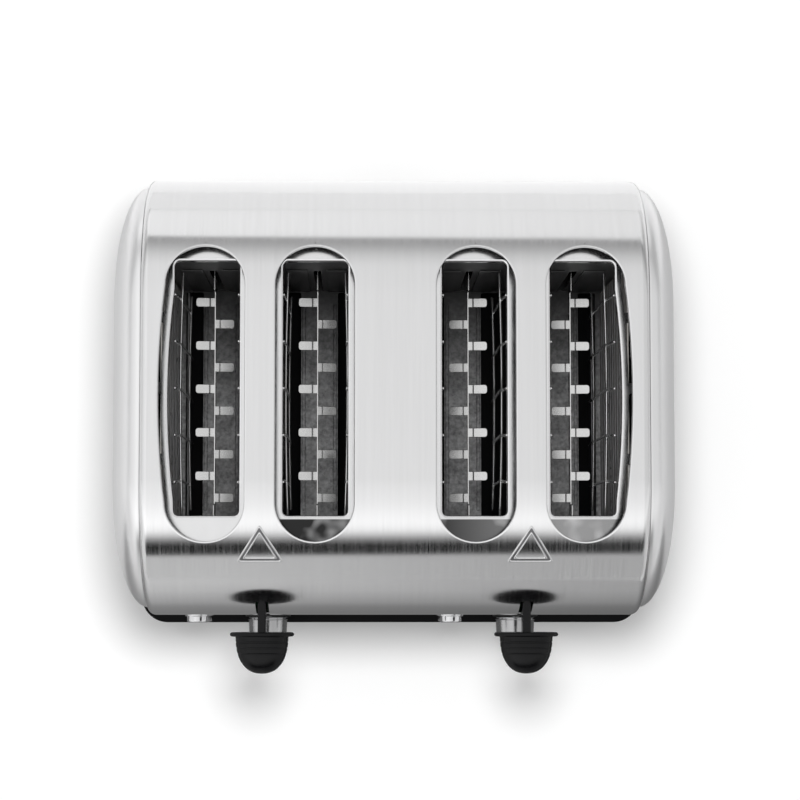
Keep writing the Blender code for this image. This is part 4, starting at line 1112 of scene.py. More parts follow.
def dress_feet():
    """Four rubber feet with a recess in the sole."""
    for name in ("foot_front_left", "foot_front_right", "foot_back_left", "foot_back_right"):
        low, high, centre = measured(name)
        radius = (high.x - low.x) / 2
        profile = [(radius * share, z) for share, z in zip(FOOT_RECESS_SHARES, (FOOT_RECESS, 0))]
        profile += reversed(eased(radius, 0, FOOT_EASE))
        profile.append((radius * FOOT_TOP_SHARE, high.z))
        dress(name, loft(turned(profile, (centre.x, centre.y, 0), "z", MEDIUM_ROUND)))


# Chassis
PLATE_CORNER = 0.002
LIP = 0.0012
LIP_DEPTH = 0.0026
LIP_STEPS = 8
LIP_SHEET_SHARE = 0.9  # of the opening's margin
VENT_OFFSET = 0.0037  # from the opening's edge
VENT_WIDTH = 0.0032
VENT_CORNER_SHARE = 0.3
VENT_BRIDGE = 0.0054
VENT_PITCH = 0.037
VENTS = 4
OPENING_WIDTH = 0.0333
OUTLINE_SPACING = 0.006
OPENING_MARGIN = 0.0006
OPENING_CORNER = 0.0026
SHEET_EDGE = 0.00011


def outline_at(outline, centre):
    """The outline, moved to a centre."""
    return [(x + centre[0], y + centre[1]) for x, y in outline]


def corners_of(x, y):
    """Outline of the rectangle between two (low, high) pairs."""
    return [(x[0], y[0]), (x[1], y[0]), (x[1], y[1]), (x[0], y[1])]


def bent(outline, centre, bow):
    """The outline about a centre, with points along its long sides, bowed like a slot."""
    made = []
    for (x, y), (next_x, next_y) in zip(outline, outline[1:] + outline[:1]):
        count = max(math.ceil(abs(next_y - y) / OUTLINE_SPACING), 1)
        for i in range(count):
            share = i / count
            u, v = x + (next_x - x) * share + centre[0], y + (next_y - y) * share + centre[1]
            along = (v - MIDDLE_Y - SLOT_SHIFT) / SLOT_STRAIGHT
            shift = SLOT_BOW * max(1 - along**2, 0)
            moves = bow and (u - centre[0]) * bow > -VENT_WIDTH
            made.append((u + bow * shift if moves else u, v))
    return made


def dress_top_plate(side, slots):
    """The plate under the shell's slots, its openings turned down all round."""
    node = f"chassis_top_plate_{side}"
    low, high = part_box(node)
    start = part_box(f"chassis_front_wall_{side}")[1].y + OPENING_MARGIN
    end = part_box(f"chassis_back_wall_{side}")[0].y - OPENING_MARGIN
    half_length, centre_y = (end - start) / 2, (end + start) / 2
    edge = rounded_rectangle((high.x - low.x) / 2, (high.y - low.y) / 2, PLATE_CORNER, SOFT_CORNER_STEPS)
    loops = [outline_at(edge, ((high.x + low.x) / 2, (high.y + low.y) / 2))]
    lips = []
    thick, top = OPENING_MARGIN * LIP_SHEET_SHARE, high.z
    below = top - SHEET
    section = [(LIP * (1 - sin), top - LIP * (1 - cos)) for sin, cos in arc(LIP_STEPS)]
    section += [(0, below - LIP_DEPTH), (thick, below - LIP_DEPTH), (thick, below), (LIP, below)]
    vent_half = (VENT_PITCH - VENT_BRIDGE) / 2
    vent = rounded_rectangle(VENT_WIDTH / 2, vent_half, VENT_WIDTH * VENT_CORNER_SHARE)
    for x in slots:
        bow = SLOT_BOWS[SLOT_XS.index(x)]

        def opening(grow):
            half_x, half_y = OPENING_WIDTH / 2 + grow, half_length + grow
            outline = rounded_rectangle(half_x, half_y, OPENING_CORNER + grow, OPENING_CORNER_STEPS)
            return bent(outline, (x, centre_y), bow)

        loops.append(opening(LIP))
        vent_x = x + bow * (OPENING_WIDTH / 2 + VENT_OFFSET + VENT_WIDTH / 2)
        for i in range(VENTS if bow else 0):
            loops.append(bent(vent, (vent_x, centre_y + (i - (VENTS - 1) / 2) * VENT_PITCH), bow))
        lips.append(ring_loft([[(a, b, z) for a, b in opening(grow)] for grow, z in section]))
    plate = cut_sheet(loops, below, top, SHEET_EDGE, flat)
    dress(node, joined([plate, *lips]), sharp=20)


SLIT_WIDTH = 0.0039
SLIT_CORNER_SHARE = 0.4
SLIT_TOP_DROP = 0.069
SLIT_BOTTOM_RISE = 0.0015
PANEL_TOP_DROP = 0.0633
PANEL_SHEET = 0.00025
PANEL_EDGE = PANEL_SHEET / 4
PANEL_START = 0.005  # from the slit's middle
PANEL_END = 0.0165


def dress_wall(side, end, slots):
    """An end wall with the carriages' slits, and a thin panel before it on either side of each."""
    node = f"chassis_{end}_wall_{side}"
    low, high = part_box(node)
    slit_top, slit_bottom = SHELL_TOP - SLIT_TOP_DROP, low.z + SLIT_BOTTOM_RISE
    panel_z = (low.z, SHELL_TOP - PANEL_TOP_DROP)
    loops = [corners_of((low.x, high.x), (low.z, high.z))]
    wall, panel = (low.y, low.y + PANEL_SHEET), (high.y - PANEL_SHEET, high.y)
    if end == "back":
        wall, panel = panel, wall
    pieces = []
    for x in slots:
        half_height, height = (slit_top - slit_bottom) / 2, (slit_top + slit_bottom) / 2
        slit = rounded_rectangle(SLIT_WIDTH / 2, half_height, SLIT_WIDTH * SLIT_CORNER_SHARE)
        loops.append(outline_at(slit, (x, height)))
        for way in (-1, 1):
            left, right = sorted((x + way * PANEL_START, x + way * PANEL_END))
            rectangle = corners_of((left, right), panel_z)
            pieces.append(cut_sheet([rectangle], *panel, PANEL_EDGE, facing_front))
            for edge in (left, right - PANEL_SHEET):
                pieces.append(plain_block((edge, edge + PANEL_SHEET), (low.y, high.y), panel_z))
    pieces.append(cut_sheet(loops, *wall, PANEL_EDGE, facing_front))
    dress(node, joined(pieces), sharp=20)


STRIP_WIDTH = 0.0213
RAIL_WIDTH = 0.006
FLOOR_CORNER = 0.0012
BEAD_SPACING = 0.018
BEAD_WIDTH = 0.0024
BEAD_HEIGHT = 0.0010
BEAD_LENGTH = 0.120
BEAD_STEPS = 7
BEAD_DRAFT_SHARE = 0.9  # of its half width, taken in at the top
BEAD_END_SHARE = 0.98  # of its half width, round its ends


def bead(x, y, z):
    """A pressed rib with round ends, standing on a sheet."""
    rings = []
    for sin, cos in arc(BEAD_STEPS):
        shrink = BEAD_WIDTH / 2 * (1 - cos) * BEAD_DRAFT_SHARE
        half = BEAD_WIDTH / 2 - shrink
        outline = rounded_rectangle(half, BEAD_LENGTH / 2 - shrink, half * BEAD_END_SHARE, SOFT_CORNER_STEPS)
        rings.append(ring_at(outline, (x, y), z + BEAD_HEIGHT * sin))
    return loft(rings)


def dress_floor(side, slots):
    """The floor, open between its strips, with pressed ribs along them."""
    node = f"chassis_floor_{side}"
    low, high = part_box(node)
    centre, half_pitch = (slots[0] + slots[1]) / 2, (slots[1] - slots[0]) / 2
    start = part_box(f"chassis_front_wall_{side}")[1].y + CONTROL_GAP
    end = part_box(f"chassis_back_wall_{side}")[0].y - CONTROL_GAP
    middle_y, half_length = (start + end) / 2, (end - start) / 2
    top = high.z - BEAD_HEIGHT
    outer = abs(middle(f"heating_board_{1 if side == 'left' else 4}").x - centre)
    edges = [-outer + RAIL_WIDTH / 2, -half_pitch - STRIP_WIDTH / 2]
    edges += [-half_pitch + STRIP_WIDTH / 2, -RAIL_WIDTH / 2]
    edges += [-edge for edge in reversed(edges)]
    loops = [corners_of((low.x, high.x), (low.y, high.y))]
    for left, right in zip(edges[::2], edges[1::2]):
        outline = rounded_rectangle((right - left) / 2, half_length, FLOOR_CORNER)
        loops.append(outline_at(outline, (centre + (left + right) / 2, middle_y)))
    beads = [bead(x + way * BEAD_SPACING / 2, middle_y, top) for x in slots for way in (-1, 1)]
    sheet = cut_sheet(loops, low.z, top, SHEET_EDGE, flat)
    dress(node, joined([sheet, *beads]), sharp=20)


# Heating boards
HEATING_BOARDS = 6
BOARD_HALF_SHEET = 0.0004
BOARD_EASE = 0.0001
RIBBON_TURNS = 11
RIBBON_WIDTH = 0.0022
RIBBON_SHEET = 0.0003
RIBBON_GAP = 0.00005  # from the board
RIBBON_MARGIN = 0.012
RIBBON_SLANT_SHARE = 0.2  # of half the pitch, at the back on one face
NOTCH_DEPTH = 0.0014
NOTCH_HALF = 0.0016
NOTCH_SHAPE = ((0, -1), (1, -0.6), (1, 0.6), (0, 1))  # shares of its depth and half width


def board_edge(y, inwards, levels, way):
    """An edge of the board with its notches, from below for way 1 and from above for way -1."""
    return [
        (y + inwards * NOTCH_DEPTH * depth, z + way * rise * NOTCH_HALF)
        for z in levels[::way]
        for depth, rise in NOTCH_SHAPE
    ]


def dress_heating_board(number):
    """A mica sheet, notched where the heating ribbon winds round it."""
    node = f"heating_board_{number}"
    low, high, centre = measured(node)
    pitch = (high.z - low.z - 2 * RIBBON_MARGIN) / (RIBBON_TURNS - 1)
    levels = [low.z + RIBBON_MARGIN + i * pitch for i in range(RIBBON_TURNS)]
    outline = [(low.y, low.z), (high.y, low.z), *board_edge(high.y, -1, levels, 1)]
    outline += [(high.y, high.z), (low.y, high.z), *board_edge(low.y, 1, levels, -1)]
    faces = (centre.x - BOARD_HALF_SHEET, centre.x + BOARD_HALF_SHEET)
    dress(node, cut_sheet([outline], *faces, BOARD_EASE, facing_side), sharp=20)

    ribbon = []
    half_x, half_z = RIBBON_SHEET / 2, RIBBON_WIDTH / 2
    for i, z in enumerate(levels):
        for way, slant in ((-1, 0), (1, RIBBON_SLANT_SHARE)):
            x = centre.x + way * (BOARD_HALF_SHEET + half_x + RIBBON_GAP)
            rise = pitch / 2 * slant if i < RIBBON_TURNS - 1 else 0
            ends = ((low.y + NOTCH_DEPTH, z), (high.y - NOTCH_DEPTH, z + rise))
            rings = [
                [(a, y, b) for a, b in corners_of((x - half_x, x + half_x), (level - half_z, level + half_z))]
                for y, level in ends
            ]
            ribbon.append(loft(rings))
    add_piece(f"heating_ribbon_{number}", joined(ribbon), "housing", "spring_steel")


# Bread guards and carriages
BREAD_GUARDS = 8
WIRE = 0.0008
WIRE_SIDES = 12
RAIL_SHARE = 0.96  # of the uprights' thickness
GUARD_UPRIGHTS = 5
GUARD_PITCH = 0.0244
GUARD_LENGTHS = (0.120, 0.130)
GUARD_TOP_RAIL_DROP = 0.060
GUARD_BOTTOM_RAIL_RISE = 0.030
GUARD_BOW = 0.0012
GUARD_BOW_STEPS = 8
UPRIGHT_LEAN = 0.0026
UPRIGHT_BEND = ((0, -2), (-0.25, 0), (-1, 3))  # (to the back, up) at the top rail, times the wire's radius


def guard_shape(way):
    """A wire grid in the plane x = 0, about the middle of its length, bowed a little to one way."""
    low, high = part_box("bread_guard_1")
    floor_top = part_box("chassis_floor_left")[1].z - BEAD_HEIGHT
    levels = (floor_top + GUARD_BOTTOM_RAIL_RISE, SHELL_TOP - GUARD_TOP_RAIL_DROP)
    wires = []
    for i in range(GUARD_UPRIGHTS):
        y = (i - (GUARD_UPRIGHTS - 1) / 2) * GUARD_PITCH
        lean = y + UPRIGHT_LEAN
        path = [(0, lean, low.z + WIRE), (0, lean, levels[0])]
        path += [(0, lean + WIRE * shift, levels[1] + WIRE * rise) for shift, rise in UPRIGHT_BEND]
        path.append((0, y, high.z - WIRE))
        wires.append(tube(path, WIRE, WIRE_SIDES))
    shape = joined(wires)
    for z, length in zip(levels, GUARD_LENGTHS):
        shares = [2 * step / GUARD_BOW_STEPS - 1 for step in range(GUARD_BOW_STEPS + 1)]
        bow = way * GUARD_BOW
        path = [(bow * share**2 * length / GUARD_LENGTHS[1], length / 2 * share, z) for share in shares]
        shape = combined(shape, tube(path, WIRE * RAIL_SHARE, WIRE_SIDES), "UNION")
    return shape


def dress_guards():
    """Eight wire grids beside the bread."""
    shapes = [guard_shape(way) for way in (1, -1)]
    for number in range(1, BREAD_GUARDS + 1):
        node = f"bread_guard_{number}"
        centre = middle(node)
        dress(node, moved(shapes[(number - 1) % 2], (centre.x, centre.y, 0)), sharp=50)


TABS = 5
TAB_PITCH = 0.0239
TAB_WIDTH = 0.005
TAB_STAGGER_SHARE = 0.25  # of the pitch, from the rack's middle to either side's
TAB_SHIFT = 0.0009
TAB_CORNER = 0.0013
TAB_CREASE = 0.0026
TAB_CREASE_HALF = 0.0004
TAB_CREASE_DEPTH = 0.0001
TAB_EASE = 0.0002
TAB_ROOT_SHARE = 0.5  # of the web's half thickness, where the tab starts
TAB_TILT = math.radians(6)
CARRIAGE_SHEET = 0.0007
CARRIAGE_GAP = 0.0006  # from the end walls
CARRIAGE_EASE = 0.0008
WEB_DEPTH = 0.0085
END_LENGTH = 0.008
ARM_RISE = 0.0075
ARM_HEIGHT = 0.007


def tab_shape(side, reach, lean):
    """A tab bent out of the web to one side, its top at z = 0, raised where side and lean differ."""
    sections = [(0, 0, 0), (TAB_CREASE - TAB_CREASE_HALF, 0, 0), (TAB_CREASE, 0, TAB_CREASE_DEPTH)]
    sections.append((TAB_CREASE + TAB_CREASE_HALF, 0, 0))
    bend = arc(CORNER_STEPS)
    sections += [(reach - TAB_CORNER * (1 - sin), TAB_CORNER * (1 - cos), 0) for sin, cos in bend]
    rings = []
    for x, narrow, drop in sections:
        half = TAB_WIDTH / 2 - narrow
        corners = [(-half, -CARRIAGE_SHEET), (half, -CARRIAGE_SHEET), (half, -TAB_EASE)]
        corners += [(half - TAB_EASE, 0), (-half + TAB_EASE, 0), (-half, -TAB_EASE)]
        rise = -side * lean * x * math.tan(TAB_TILT) - drop
        root = CARRIAGE_SHEET / 2 * TAB_ROOT_SHARE
        rings.append([(side * (root + x), y, z + rise) for y, z in corners])
    return loft(rings)


def carriage_end(end, tip, way, high_z):
    """Half of the rack's outline: from under one end, round its arm, to the top of the web."""
    top, arm_bottom = high_z - ARM_RISE, high_z - ARM_HEIGHT
    inner = end - way * END_LENGTH
    ease = CARRIAGE_EASE
    half = [(end, top - WEB_DEPTH), (end, arm_bottom), (tip - way * ease, arm_bottom)]
    half += [(tip, arm_bottom + ease), (tip, high_z - ease), (tip - way * ease, high_z)]
    return [*half, (inner + way * ease, high_z), (inner, high_z - ease), (inner, top)]


def carriage_shape(lean):
    """The rack that the bread stands on, its middle at x = 0: lean 1 left of the toaster's middle."""
    low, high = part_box("bread_carriage_1")
    front_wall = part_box("chassis_front_wall_left")[1].y
    back_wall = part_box("chassis_back_wall_left")[0].y
    back_half = carriage_end(back_wall - CARRIAGE_GAP, high.y, 1, high.z)
    front_half = carriage_end(front_wall + CARRIAGE_GAP, low.y, -1, high.z)
    outline = [front_half[0], *back_half, *front_half[:0:-1]]
    centre_y = (front_wall + back_wall) / 2
    half_web = CARRIAGE_SHEET / 2
    shape = cut_sheet([outline], -half_web, half_web, SHEET_EDGE, facing_side)
    reach = (high.x - low.x) / 2 - half_web / 2
    tabs = []
    for side in (-1, 1):
        tab = tab_shape(side, reach, lean)
        for i in range(TABS):
            place = i - (TABS - 1) / 2 - side * lean * TAB_STAGGER_SHARE
            tabs.append(moved(tab, (0, centre_y - TAB_SHIFT + place * TAB_PITCH, high.z - ARM_RISE)))
    return combined(shape, joined(tabs), "UNION")


def dress_carriages():
    """Four bread carriages."""
    shapes = {lean: carriage_shape(lean) for lean in (1, -1)}
    for number in range(1, len(SLOT_XS) + 1):
        node = f"bread_carriage_{number}"
        x = middle(node).x
        dress(node, moved(shapes[1 if x < 0 else -1], (x, 0, 0)), sharp=10)


# Levers, knobs and buttons
BUTTONS = ("defrost", "reheat", "cancel")
STEM_WIDTH = 0.0042
STEM_HEIGHT = 0.012
STEM_EDGE = 0.0006
STEM_SINK = 0.001  # into the flange
FLANGE_WIDTH = 0.0338
FLANGE_HEIGHT = 0.020
FLANGE_THICKNESS = 0.0022
FLANGE_STEPS = 8
PADDLE_WIDTH = 0.0278
PADDLE_HEIGHT = 0.016
PADDLE_ROUNDNESS = 2.3
PADDLE_POWER = 2 / PADDLE_ROUNDNESS
PADDLE_FILLET = 0.0006
PADDLE_EVEN_SHARE = 0.6  # of its reach, with rings at even steps
PADDLE_EVEN_STEPS = 24
PADDLE_STEPS = 30
PADDLE_TIP_START = 12  # the step of those where its rounded tip starts
PADDLE_TIP_SHARE = 0.06
GROOVES = (0.0030, 0.0060, 0.0090)
GROOVE_HALF = 0.0005
GROOVE_SHARES = (-1, -0.5, 0, 0.5, 1)  # of its half width, where it has rings
GROOVE_DEPTH = 0.00022
LEVER_STANDOFF = 0.0088
LEVER_EASE = 0.0012  # how far the paddle ends inside the node's box
SHAFT_RADIUS = 0.003


def superellipse_ring(half_width, half_height, centre, y):
    """Points round a superellipse that faces the front."""
    return [
        (
            centre.x + half_width * math.copysign(abs(a) ** PADDLE_POWER, a),
            y,
            centre.z + half_height * math.copysign(abs(b) ** PADDLE_POWER, b),
        )
        for a, b in circle(1, PADDLE_ROUND)
    ]


def dress_lever(side):
    """The black handle: its stem, its thin flange and a domed paddle with finger grooves."""
    node = f"lever_handle_{side}"
    low, high, centre = measured(node)
    flange_back = SHELL_LOW.y - LEVER_STANDOFF
    flange_front = flange_back - FLANGE_THICKNESS
    tip = low.y + LEVER_EASE
    reach = flange_front - tip
    half_width, half_height, half_thick = PADDLE_WIDTH / 2, PADDLE_HEIGHT / 2, FLANGE_THICKNESS / 2
    sizes = []
    for sin, cos in arc(FLANGE_STEPS, 0.5):
        margin, y = half_thick * (1 - sin), flange_back - half_thick * (1 - cos)
        sizes.append((FLANGE_WIDTH / 2 - margin, FLANGE_HEIGHT / 2 - margin, y))
    for grow, out in EASE_STEPS[:0:-1]:
        grow, out = PADDLE_FILLET * grow, PADDLE_FILLET * out
        sizes.append((half_width + grow, half_height + grow, flange_front - out))
    even = reach * PADDLE_EVEN_SHARE - PADDLE_FILLET
    outs = [PADDLE_FILLET + even * i / PADDLE_EVEN_STEPS for i in range(PADDLE_EVEN_STEPS + 1)]
    outs += [groove + share * GROOVE_HALF for groove in GROOVES for share in GROOVE_SHARES]
    outs += [reach * sin**PADDLE_POWER for sin, cos in arc(PADDLE_STEPS)[PADDLE_TIP_START:-1]]
    for out in sorted({round(out, 6) for out in outs}):
        narrow = (1 - (out / reach) ** PADDLE_ROUNDNESS) ** (1 / PADDLE_ROUNDNESS)
        depth = sum(GROOVE_DEPTH * max(1 - (abs(out - at) / GROOVE_HALF) ** 2, 0) for at in GROOVES)
        sizes.append((half_width * narrow - depth, half_height * narrow - depth, flange_front - out))
    sizes.append((half_width * PADDLE_TIP_SHARE, half_height * PADDLE_TIP_SHARE, tip))
    handle = loft([superellipse_ring(a, b, centre, y) for a, b, y in sizes])
    stem = rounded_box(
        (centre.x - STEM_WIDTH / 2, centre.x + STEM_WIDTH / 2),
        (flange_back - STEM_SINK, high.y),
        (centre.z - STEM_HEIGHT / 2, centre.z + STEM_HEIGHT / 2),
        STEM_EDGE,
    )
    dress(node, combined(handle, stem, "UNION"), sharp=32)


KNOB_TAPER = 0.00075
KNOB_SKIRT = (  # (in from the radius, out from the back)
    (0.0008, 0),
    (0.0002, 0.0002),
    (0, 0.0008),
    (0, 0.0016),
    (0.0004, 0.0019),
)
KNOB_EDGE = 0.0012
KNOB_EDGE_STEPS = 6
KNOB_CROWN = 0.0006
KNOB_CROWN_SHARES = (0.75, 0.5, 0.25, 0.04)
KNOB_MARK_WIDTH = 0.0014
KNOB_MARK_DEPTH = 0.0008
KNOB_MARK_LENGTH = 0.006
BEZEL_EASE = 0.0004


def dress_knob(side):
    """The chrome browning knob, with a mark cut into its front, and the ring behind it."""
    node, ring_node = f"browning_knob_{side}", f"knob_bezel_{side}"
    low, high, knob = measured(node)
    bezel_low, bezel_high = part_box(ring_node)
    radius = (high.x - low.x) / 2
    centre = (knob.x, SHELL_LOW.y, knob.z)
    shaft_end, front = SHELL_LOW.y - high.y, SHELL_LOW.y - low.y
    back = SHELL_LOW.y - bezel_low.y + CONTROL_GAP
    face = radius - KNOB_TAPER
    profile = [(SHAFT_RADIUS, shaft_end), (SHAFT_RADIUS, back)]
    profile += [(radius - inset, back + out) for inset, out in KNOB_SKIRT]
    profile += rounded_edge(face, front - KNOB_CROWN, KNOB_EDGE, KNOB_EDGE_STEPS)
    profile += [((face - KNOB_EDGE) * share, front - KNOB_CROWN * share**2) for share in KNOB_CROWN_SHARES]
    mark = plain_block(
        (knob.x - KNOB_MARK_WIDTH / 2, knob.x + KNOB_MARK_WIDTH / 2),
        (low.y - OVERRUN, low.y + KNOB_CROWN + KNOB_MARK_DEPTH),
        (knob.z + radius - KNOB_MARK_LENGTH, knob.z + radius + OVERRUN),
    )
    dress(node, combined(loft(turned(profile, centre, "front", LARGE_ROUND)), mark, "DIFFERENCE"), sharp=30)

    rim, bore = (bezel_high.x - bezel_low.x) / 2, SHAFT_RADIUS + CONTROL_GAP
    depth_back, depth_front = SHELL_LOW.y - bezel_high.y, SHELL_LOW.y - bezel_low.y
    ring = [(bore, depth_back), (rim, depth_back), *eased(rim, depth_front, BEZEL_EASE, -1)]
    ring.append((bore, depth_front))
    dress(ring_node, ring_loft(turned(ring, centre, "front", LARGE_ROUND)))


BUTTON_RADIUS = 0.006
BUTTON_EDGE = 0.0010
BUTTON_EDGE_STEPS = 5
BUTTON_FLANGE_RADIUS = 0.0072
BUTTON_FLANGE = 0.0012
BUTTON_STEM_RADIUS = 0.0018
BUTTON_DISH = ((1, 0.0001), (0.6, 0.0004), (0.1, 0.0005))  # (share of the dish's radius, depth)
TRIM_WIDTH = 0.0011  # beyond the button
TRIM_RISE = 0.0014
TRIM_SIDE_SHARE = 0.5  # of its rise, at its outer side
TRIM_SHOULDER_SHARE = 0.9
TRIM_LIFT = 0.0001
TRIM_EASE = 0.0003


def dress_button(name, side):
    """A chrome push button with a shallow dish, and the bright ring round its hole."""
    node = f"{name}_button_{side}"
    low, high, place = measured(node)
    centre = (place.x, SHELL_LOW.y, place.z)
    proud, stem_end = SHELL_LOW.y - low.y, SHELL_LOW.y - high.y
    flange_front = -SHEET - CONTROL_GAP
    flange_back = flange_front - BUTTON_FLANGE
    profile = [(BUTTON_STEM_RADIUS, stem_end), (BUTTON_STEM_RADIUS, flange_back)]
    profile += [(BUTTON_FLANGE_RADIUS, flange_back), (BUTTON_FLANGE_RADIUS, flange_front)]
    profile.append((BUTTON_RADIUS, flange_front))
    profile += rounded_edge(BUTTON_RADIUS, proud, BUTTON_EDGE, BUTTON_EDGE_STEPS)
    dish = BUTTON_RADIUS - 2 * BUTTON_EDGE
    profile += [(dish * share, proud - depth) for share, depth in BUTTON_DISH]
    dress(node, loft(turned(profile, centre, "front", MEDIUM_ROUND)), sharp=30)
    inner, outer = BUTTON_RADIUS + CONTROL_GAP, BUTTON_RADIUS + TRIM_WIDTH
    ring = [(inner, TRIM_LIFT), (outer, TRIM_LIFT), (outer, TRIM_RISE * TRIM_SIDE_SHARE)]
    shoulder = TRIM_RISE * TRIM_SHOULDER_SHARE
    ring += [(outer - TRIM_EASE, shoulder), ((inner + outer) / 2, TRIM_RISE), (inner + TRIM_LIFT, shoulder)]
    shape = ring_loft(turned(ring, centre, "front", MEDIUM_ROUND))
    add_piece(f"{name}_button_trim_{side}", shape, "housing", "button_chrome", sharp=50)


# Pieces inside the front
SPRING_TURNS = 9
SPRING_POINTS = 16
SPRING_WIRE = 0.0005
SPRING_WIRE_SIDES = 8
ROD_EASE = 0.0004
MAGNET_FLANGE = 0.0014
MAGNET_EASE = 0.0003
MAGNET_CORNER = 0.002
MAGNET_CORE = 0.003
MAGNET_CORE_CORNER = 0.0006
MAGNET_CORE_RISE = 0.002
WINDING_DEPTH = 0.0009  # under the flanges' edge
WINDING_TURNS = 18
WINDING_SHAPE = ((1, 0.1), (0.6, 0.5), (1, 0.9))  # shares of its depth and its pitch
EASED_SEGMENTS = 2
EASED_EDGES = {"carriage_bracket": 0.0003, "control_board": 0.0002, "crumb_tray": 0.0003}


def dress_spring(side):
    """The return spring, a coil between the top plate and the bracket."""
    node = f"return_spring_{side}"
    low, high, centre = measured(node)
    radius = (high.x - low.x) / 2 - SPRING_WIRE
    steps = SPRING_TURNS * SPRING_POINTS
    path = []
    for step in range(steps + 1):
        angle = 2 * math.pi * step / SPRING_POINTS
        z = low.z + SPRING_WIRE + (high.z - low.z - 2 * SPRING_WIRE) * step / steps
        path.append((centre.x + radius * math.cos(angle), centre.y + radius * math.sin(angle), z))
    shape = tube(path, SPRING_WIRE, SPRING_WIRE_SIDES)
    obj = add_piece(f"{node}_finished", shape, None, NODE_SLOTS[node], sharp=60, replaced=(node,))
    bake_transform(obj)


def dress_rod(side):
    """The rod that the bracket slides on, with turned ends."""
    node = f"guide_rod_{side}"
    low, high, centre = measured(node)
    radius, length = (high.x - low.x) / 2, high.z - low.z
    profile = [(radius - ROD_EASE, 0), (radius, ROD_EASE)]
    profile += [(radius, length - ROD_EASE), (radius - ROD_EASE, length)]
    dress(node, loft(turned(profile, (centre.x, centre.y, low.z), "z", SMALL_ROUND)))


def dress_magnet(side):
    """The electromagnet: a bobbin with its winding, on an iron core that stands proud."""
    node = f"electromagnet_{side}"
    low, high, place = measured(node)
    half_x, half_y = (high.x - low.x) / 2, (high.y - low.y) / 2
    top = high.z - MAGNET_CORE_RISE
    start, end = low.z + MAGNET_FLANGE, top - MAGNET_FLANGE
    pitch = (top - low.z - 2 * MAGNET_FLANGE) / WINDING_TURNS
    levels = [(0, low.z), (0, start), (WINDING_DEPTH, start)]
    for i in range(WINDING_TURNS):
        turn = start + i * pitch
        levels += [(WINDING_DEPTH * depth, turn + pitch * rise) for depth, rise in WINDING_SHAPE]
    levels += [(WINDING_DEPTH, end), (0, end), (0, top - MAGNET_EASE), (MAGNET_EASE, top)]
    rings = []
    for margin, z in levels:
        corner = MAGNET_CORNER - margin
        outline = rounded_rectangle(half_x - margin, half_y - margin, corner, SOFT_CORNER_STEPS)
        rings.append(ring_at(outline, place, z))
    for half, z in (
        (MAGNET_CORE, top),
        (MAGNET_CORE, high.z - MAGNET_EASE),
        (MAGNET_CORE - MAGNET_EASE, high.z),
    ):
        rings.append(ring_at(rounded_rectangle(half, half, MAGNET_CORE_CORNER, SOFT_CORNER_STEPS), place, z))
    dress(node, loft(rings), sharp=30)


def keep_node(node, edge):
    """A node whose own shape stays, with eased edges and its finish."""
    obj = frame["nodes"][node]
    bevel = obj.modifiers.new("eased edges", "BEVEL")
    bevel.width = edge
    bevel.segments = EASED_SEGMENTS
    bevel.limit_method = "ANGLE"
    obj.data.materials.clear()
    obj.data.materials.append(finish_of(NODE_SLOTS[node]))


# Triangles pressed into the front bend
TRIANGLE_APEX_Y = -0.0709
TRIANGLE_BASE_Y = -0.0886
TRIANGLE_WIDTH = 0.0229
TRIANGLE_RIDGE = 0.0009
TRIANGLE_GAP = 0.0017  # between the middles of the two ridges
TRIANGLE_RISE = 0.0006
TRIANGLE_SINK = 0.0002  # into the shell
TRIANGLE_GROOVE_RISE = 0.00008
TRIANGLE_CORNER = 0.0012
TRIANGLE_CORNER_STEPS = 4
TRIANGLE_SIDE_STEPS = 16
RIDGE_STEPS = 6


def triangle_path(inset):
    """Points round a triangle with small round corners, drawn in by an inset."""
    half = TRIANGLE_WIDTH / 2
    corners = [(0, TRIANGLE_APEX_Y), (half, TRIANGLE_BASE_Y), (-half, TRIANGLE_BASE_Y)]
    corners = [Vector(corner) for corner in corners]
    heart = sum(corners, Vector((0, 0))) / 3
    inner_radius = abs((heart - corners[0]).cross((corners[1] - corners[0]).normalized()))
    scale = (inner_radius - inset) / inner_radius
    corners = [heart + (corner - heart) * scale for corner in corners]
    path = []
    for i, corner in enumerate(corners):
        before, after = corners[i - 1], corners[(i + 1) % 3]
        a = corner + (before - corner).normalized() * TRIANGLE_CORNER
        b = corner + (after - corner).normalized() * TRIANGLE_CORNER
        end = after + (corner - after).normalized() * TRIANGLE_CORNER
        for step in range(TRIANGLE_CORNER_STEPS + 1):
            t = step / TRIANGLE_CORNER_STEPS
            path.append(a * (1 - t) ** 2 + corner * 2 * t * (1 - t) + b * t**2)
        path += [b.lerp(end, step / TRIANGLE_SIDE_STEPS) for step in range(1, TRIANGLE_SIDE_STEPS)]
    return path


def triangle_ridge(x, inset, half, height):
    """A half-round ridge on the shell, along the triangle drawn in by the inset."""
    bend = [(-half * cos, height * sin) for sin, cos in arc(RIDGE_STEPS, 0.5)]
    rings = []
    for offset, rise in [(-half, -TRIANGLE_SINK), *bend, (half, -TRIANGLE_SINK)]:
        ring = []
        for point in triangle_path(inset + offset):
            y = point.y
            beyond = math.copysign(max(abs(y) - FLAT_HALF, 0), y)
            normal = Vector((0, beyond, math.sqrt(CORNER_RADIUS**2 - beyond**2))) / CORNER_RADIUS
            ring.append(tuple(Vector((x + point.x, y + MIDDLE_Y, top_z(y))) + normal * rise))
        rings.append(ring)
    return ring_loft(rings)


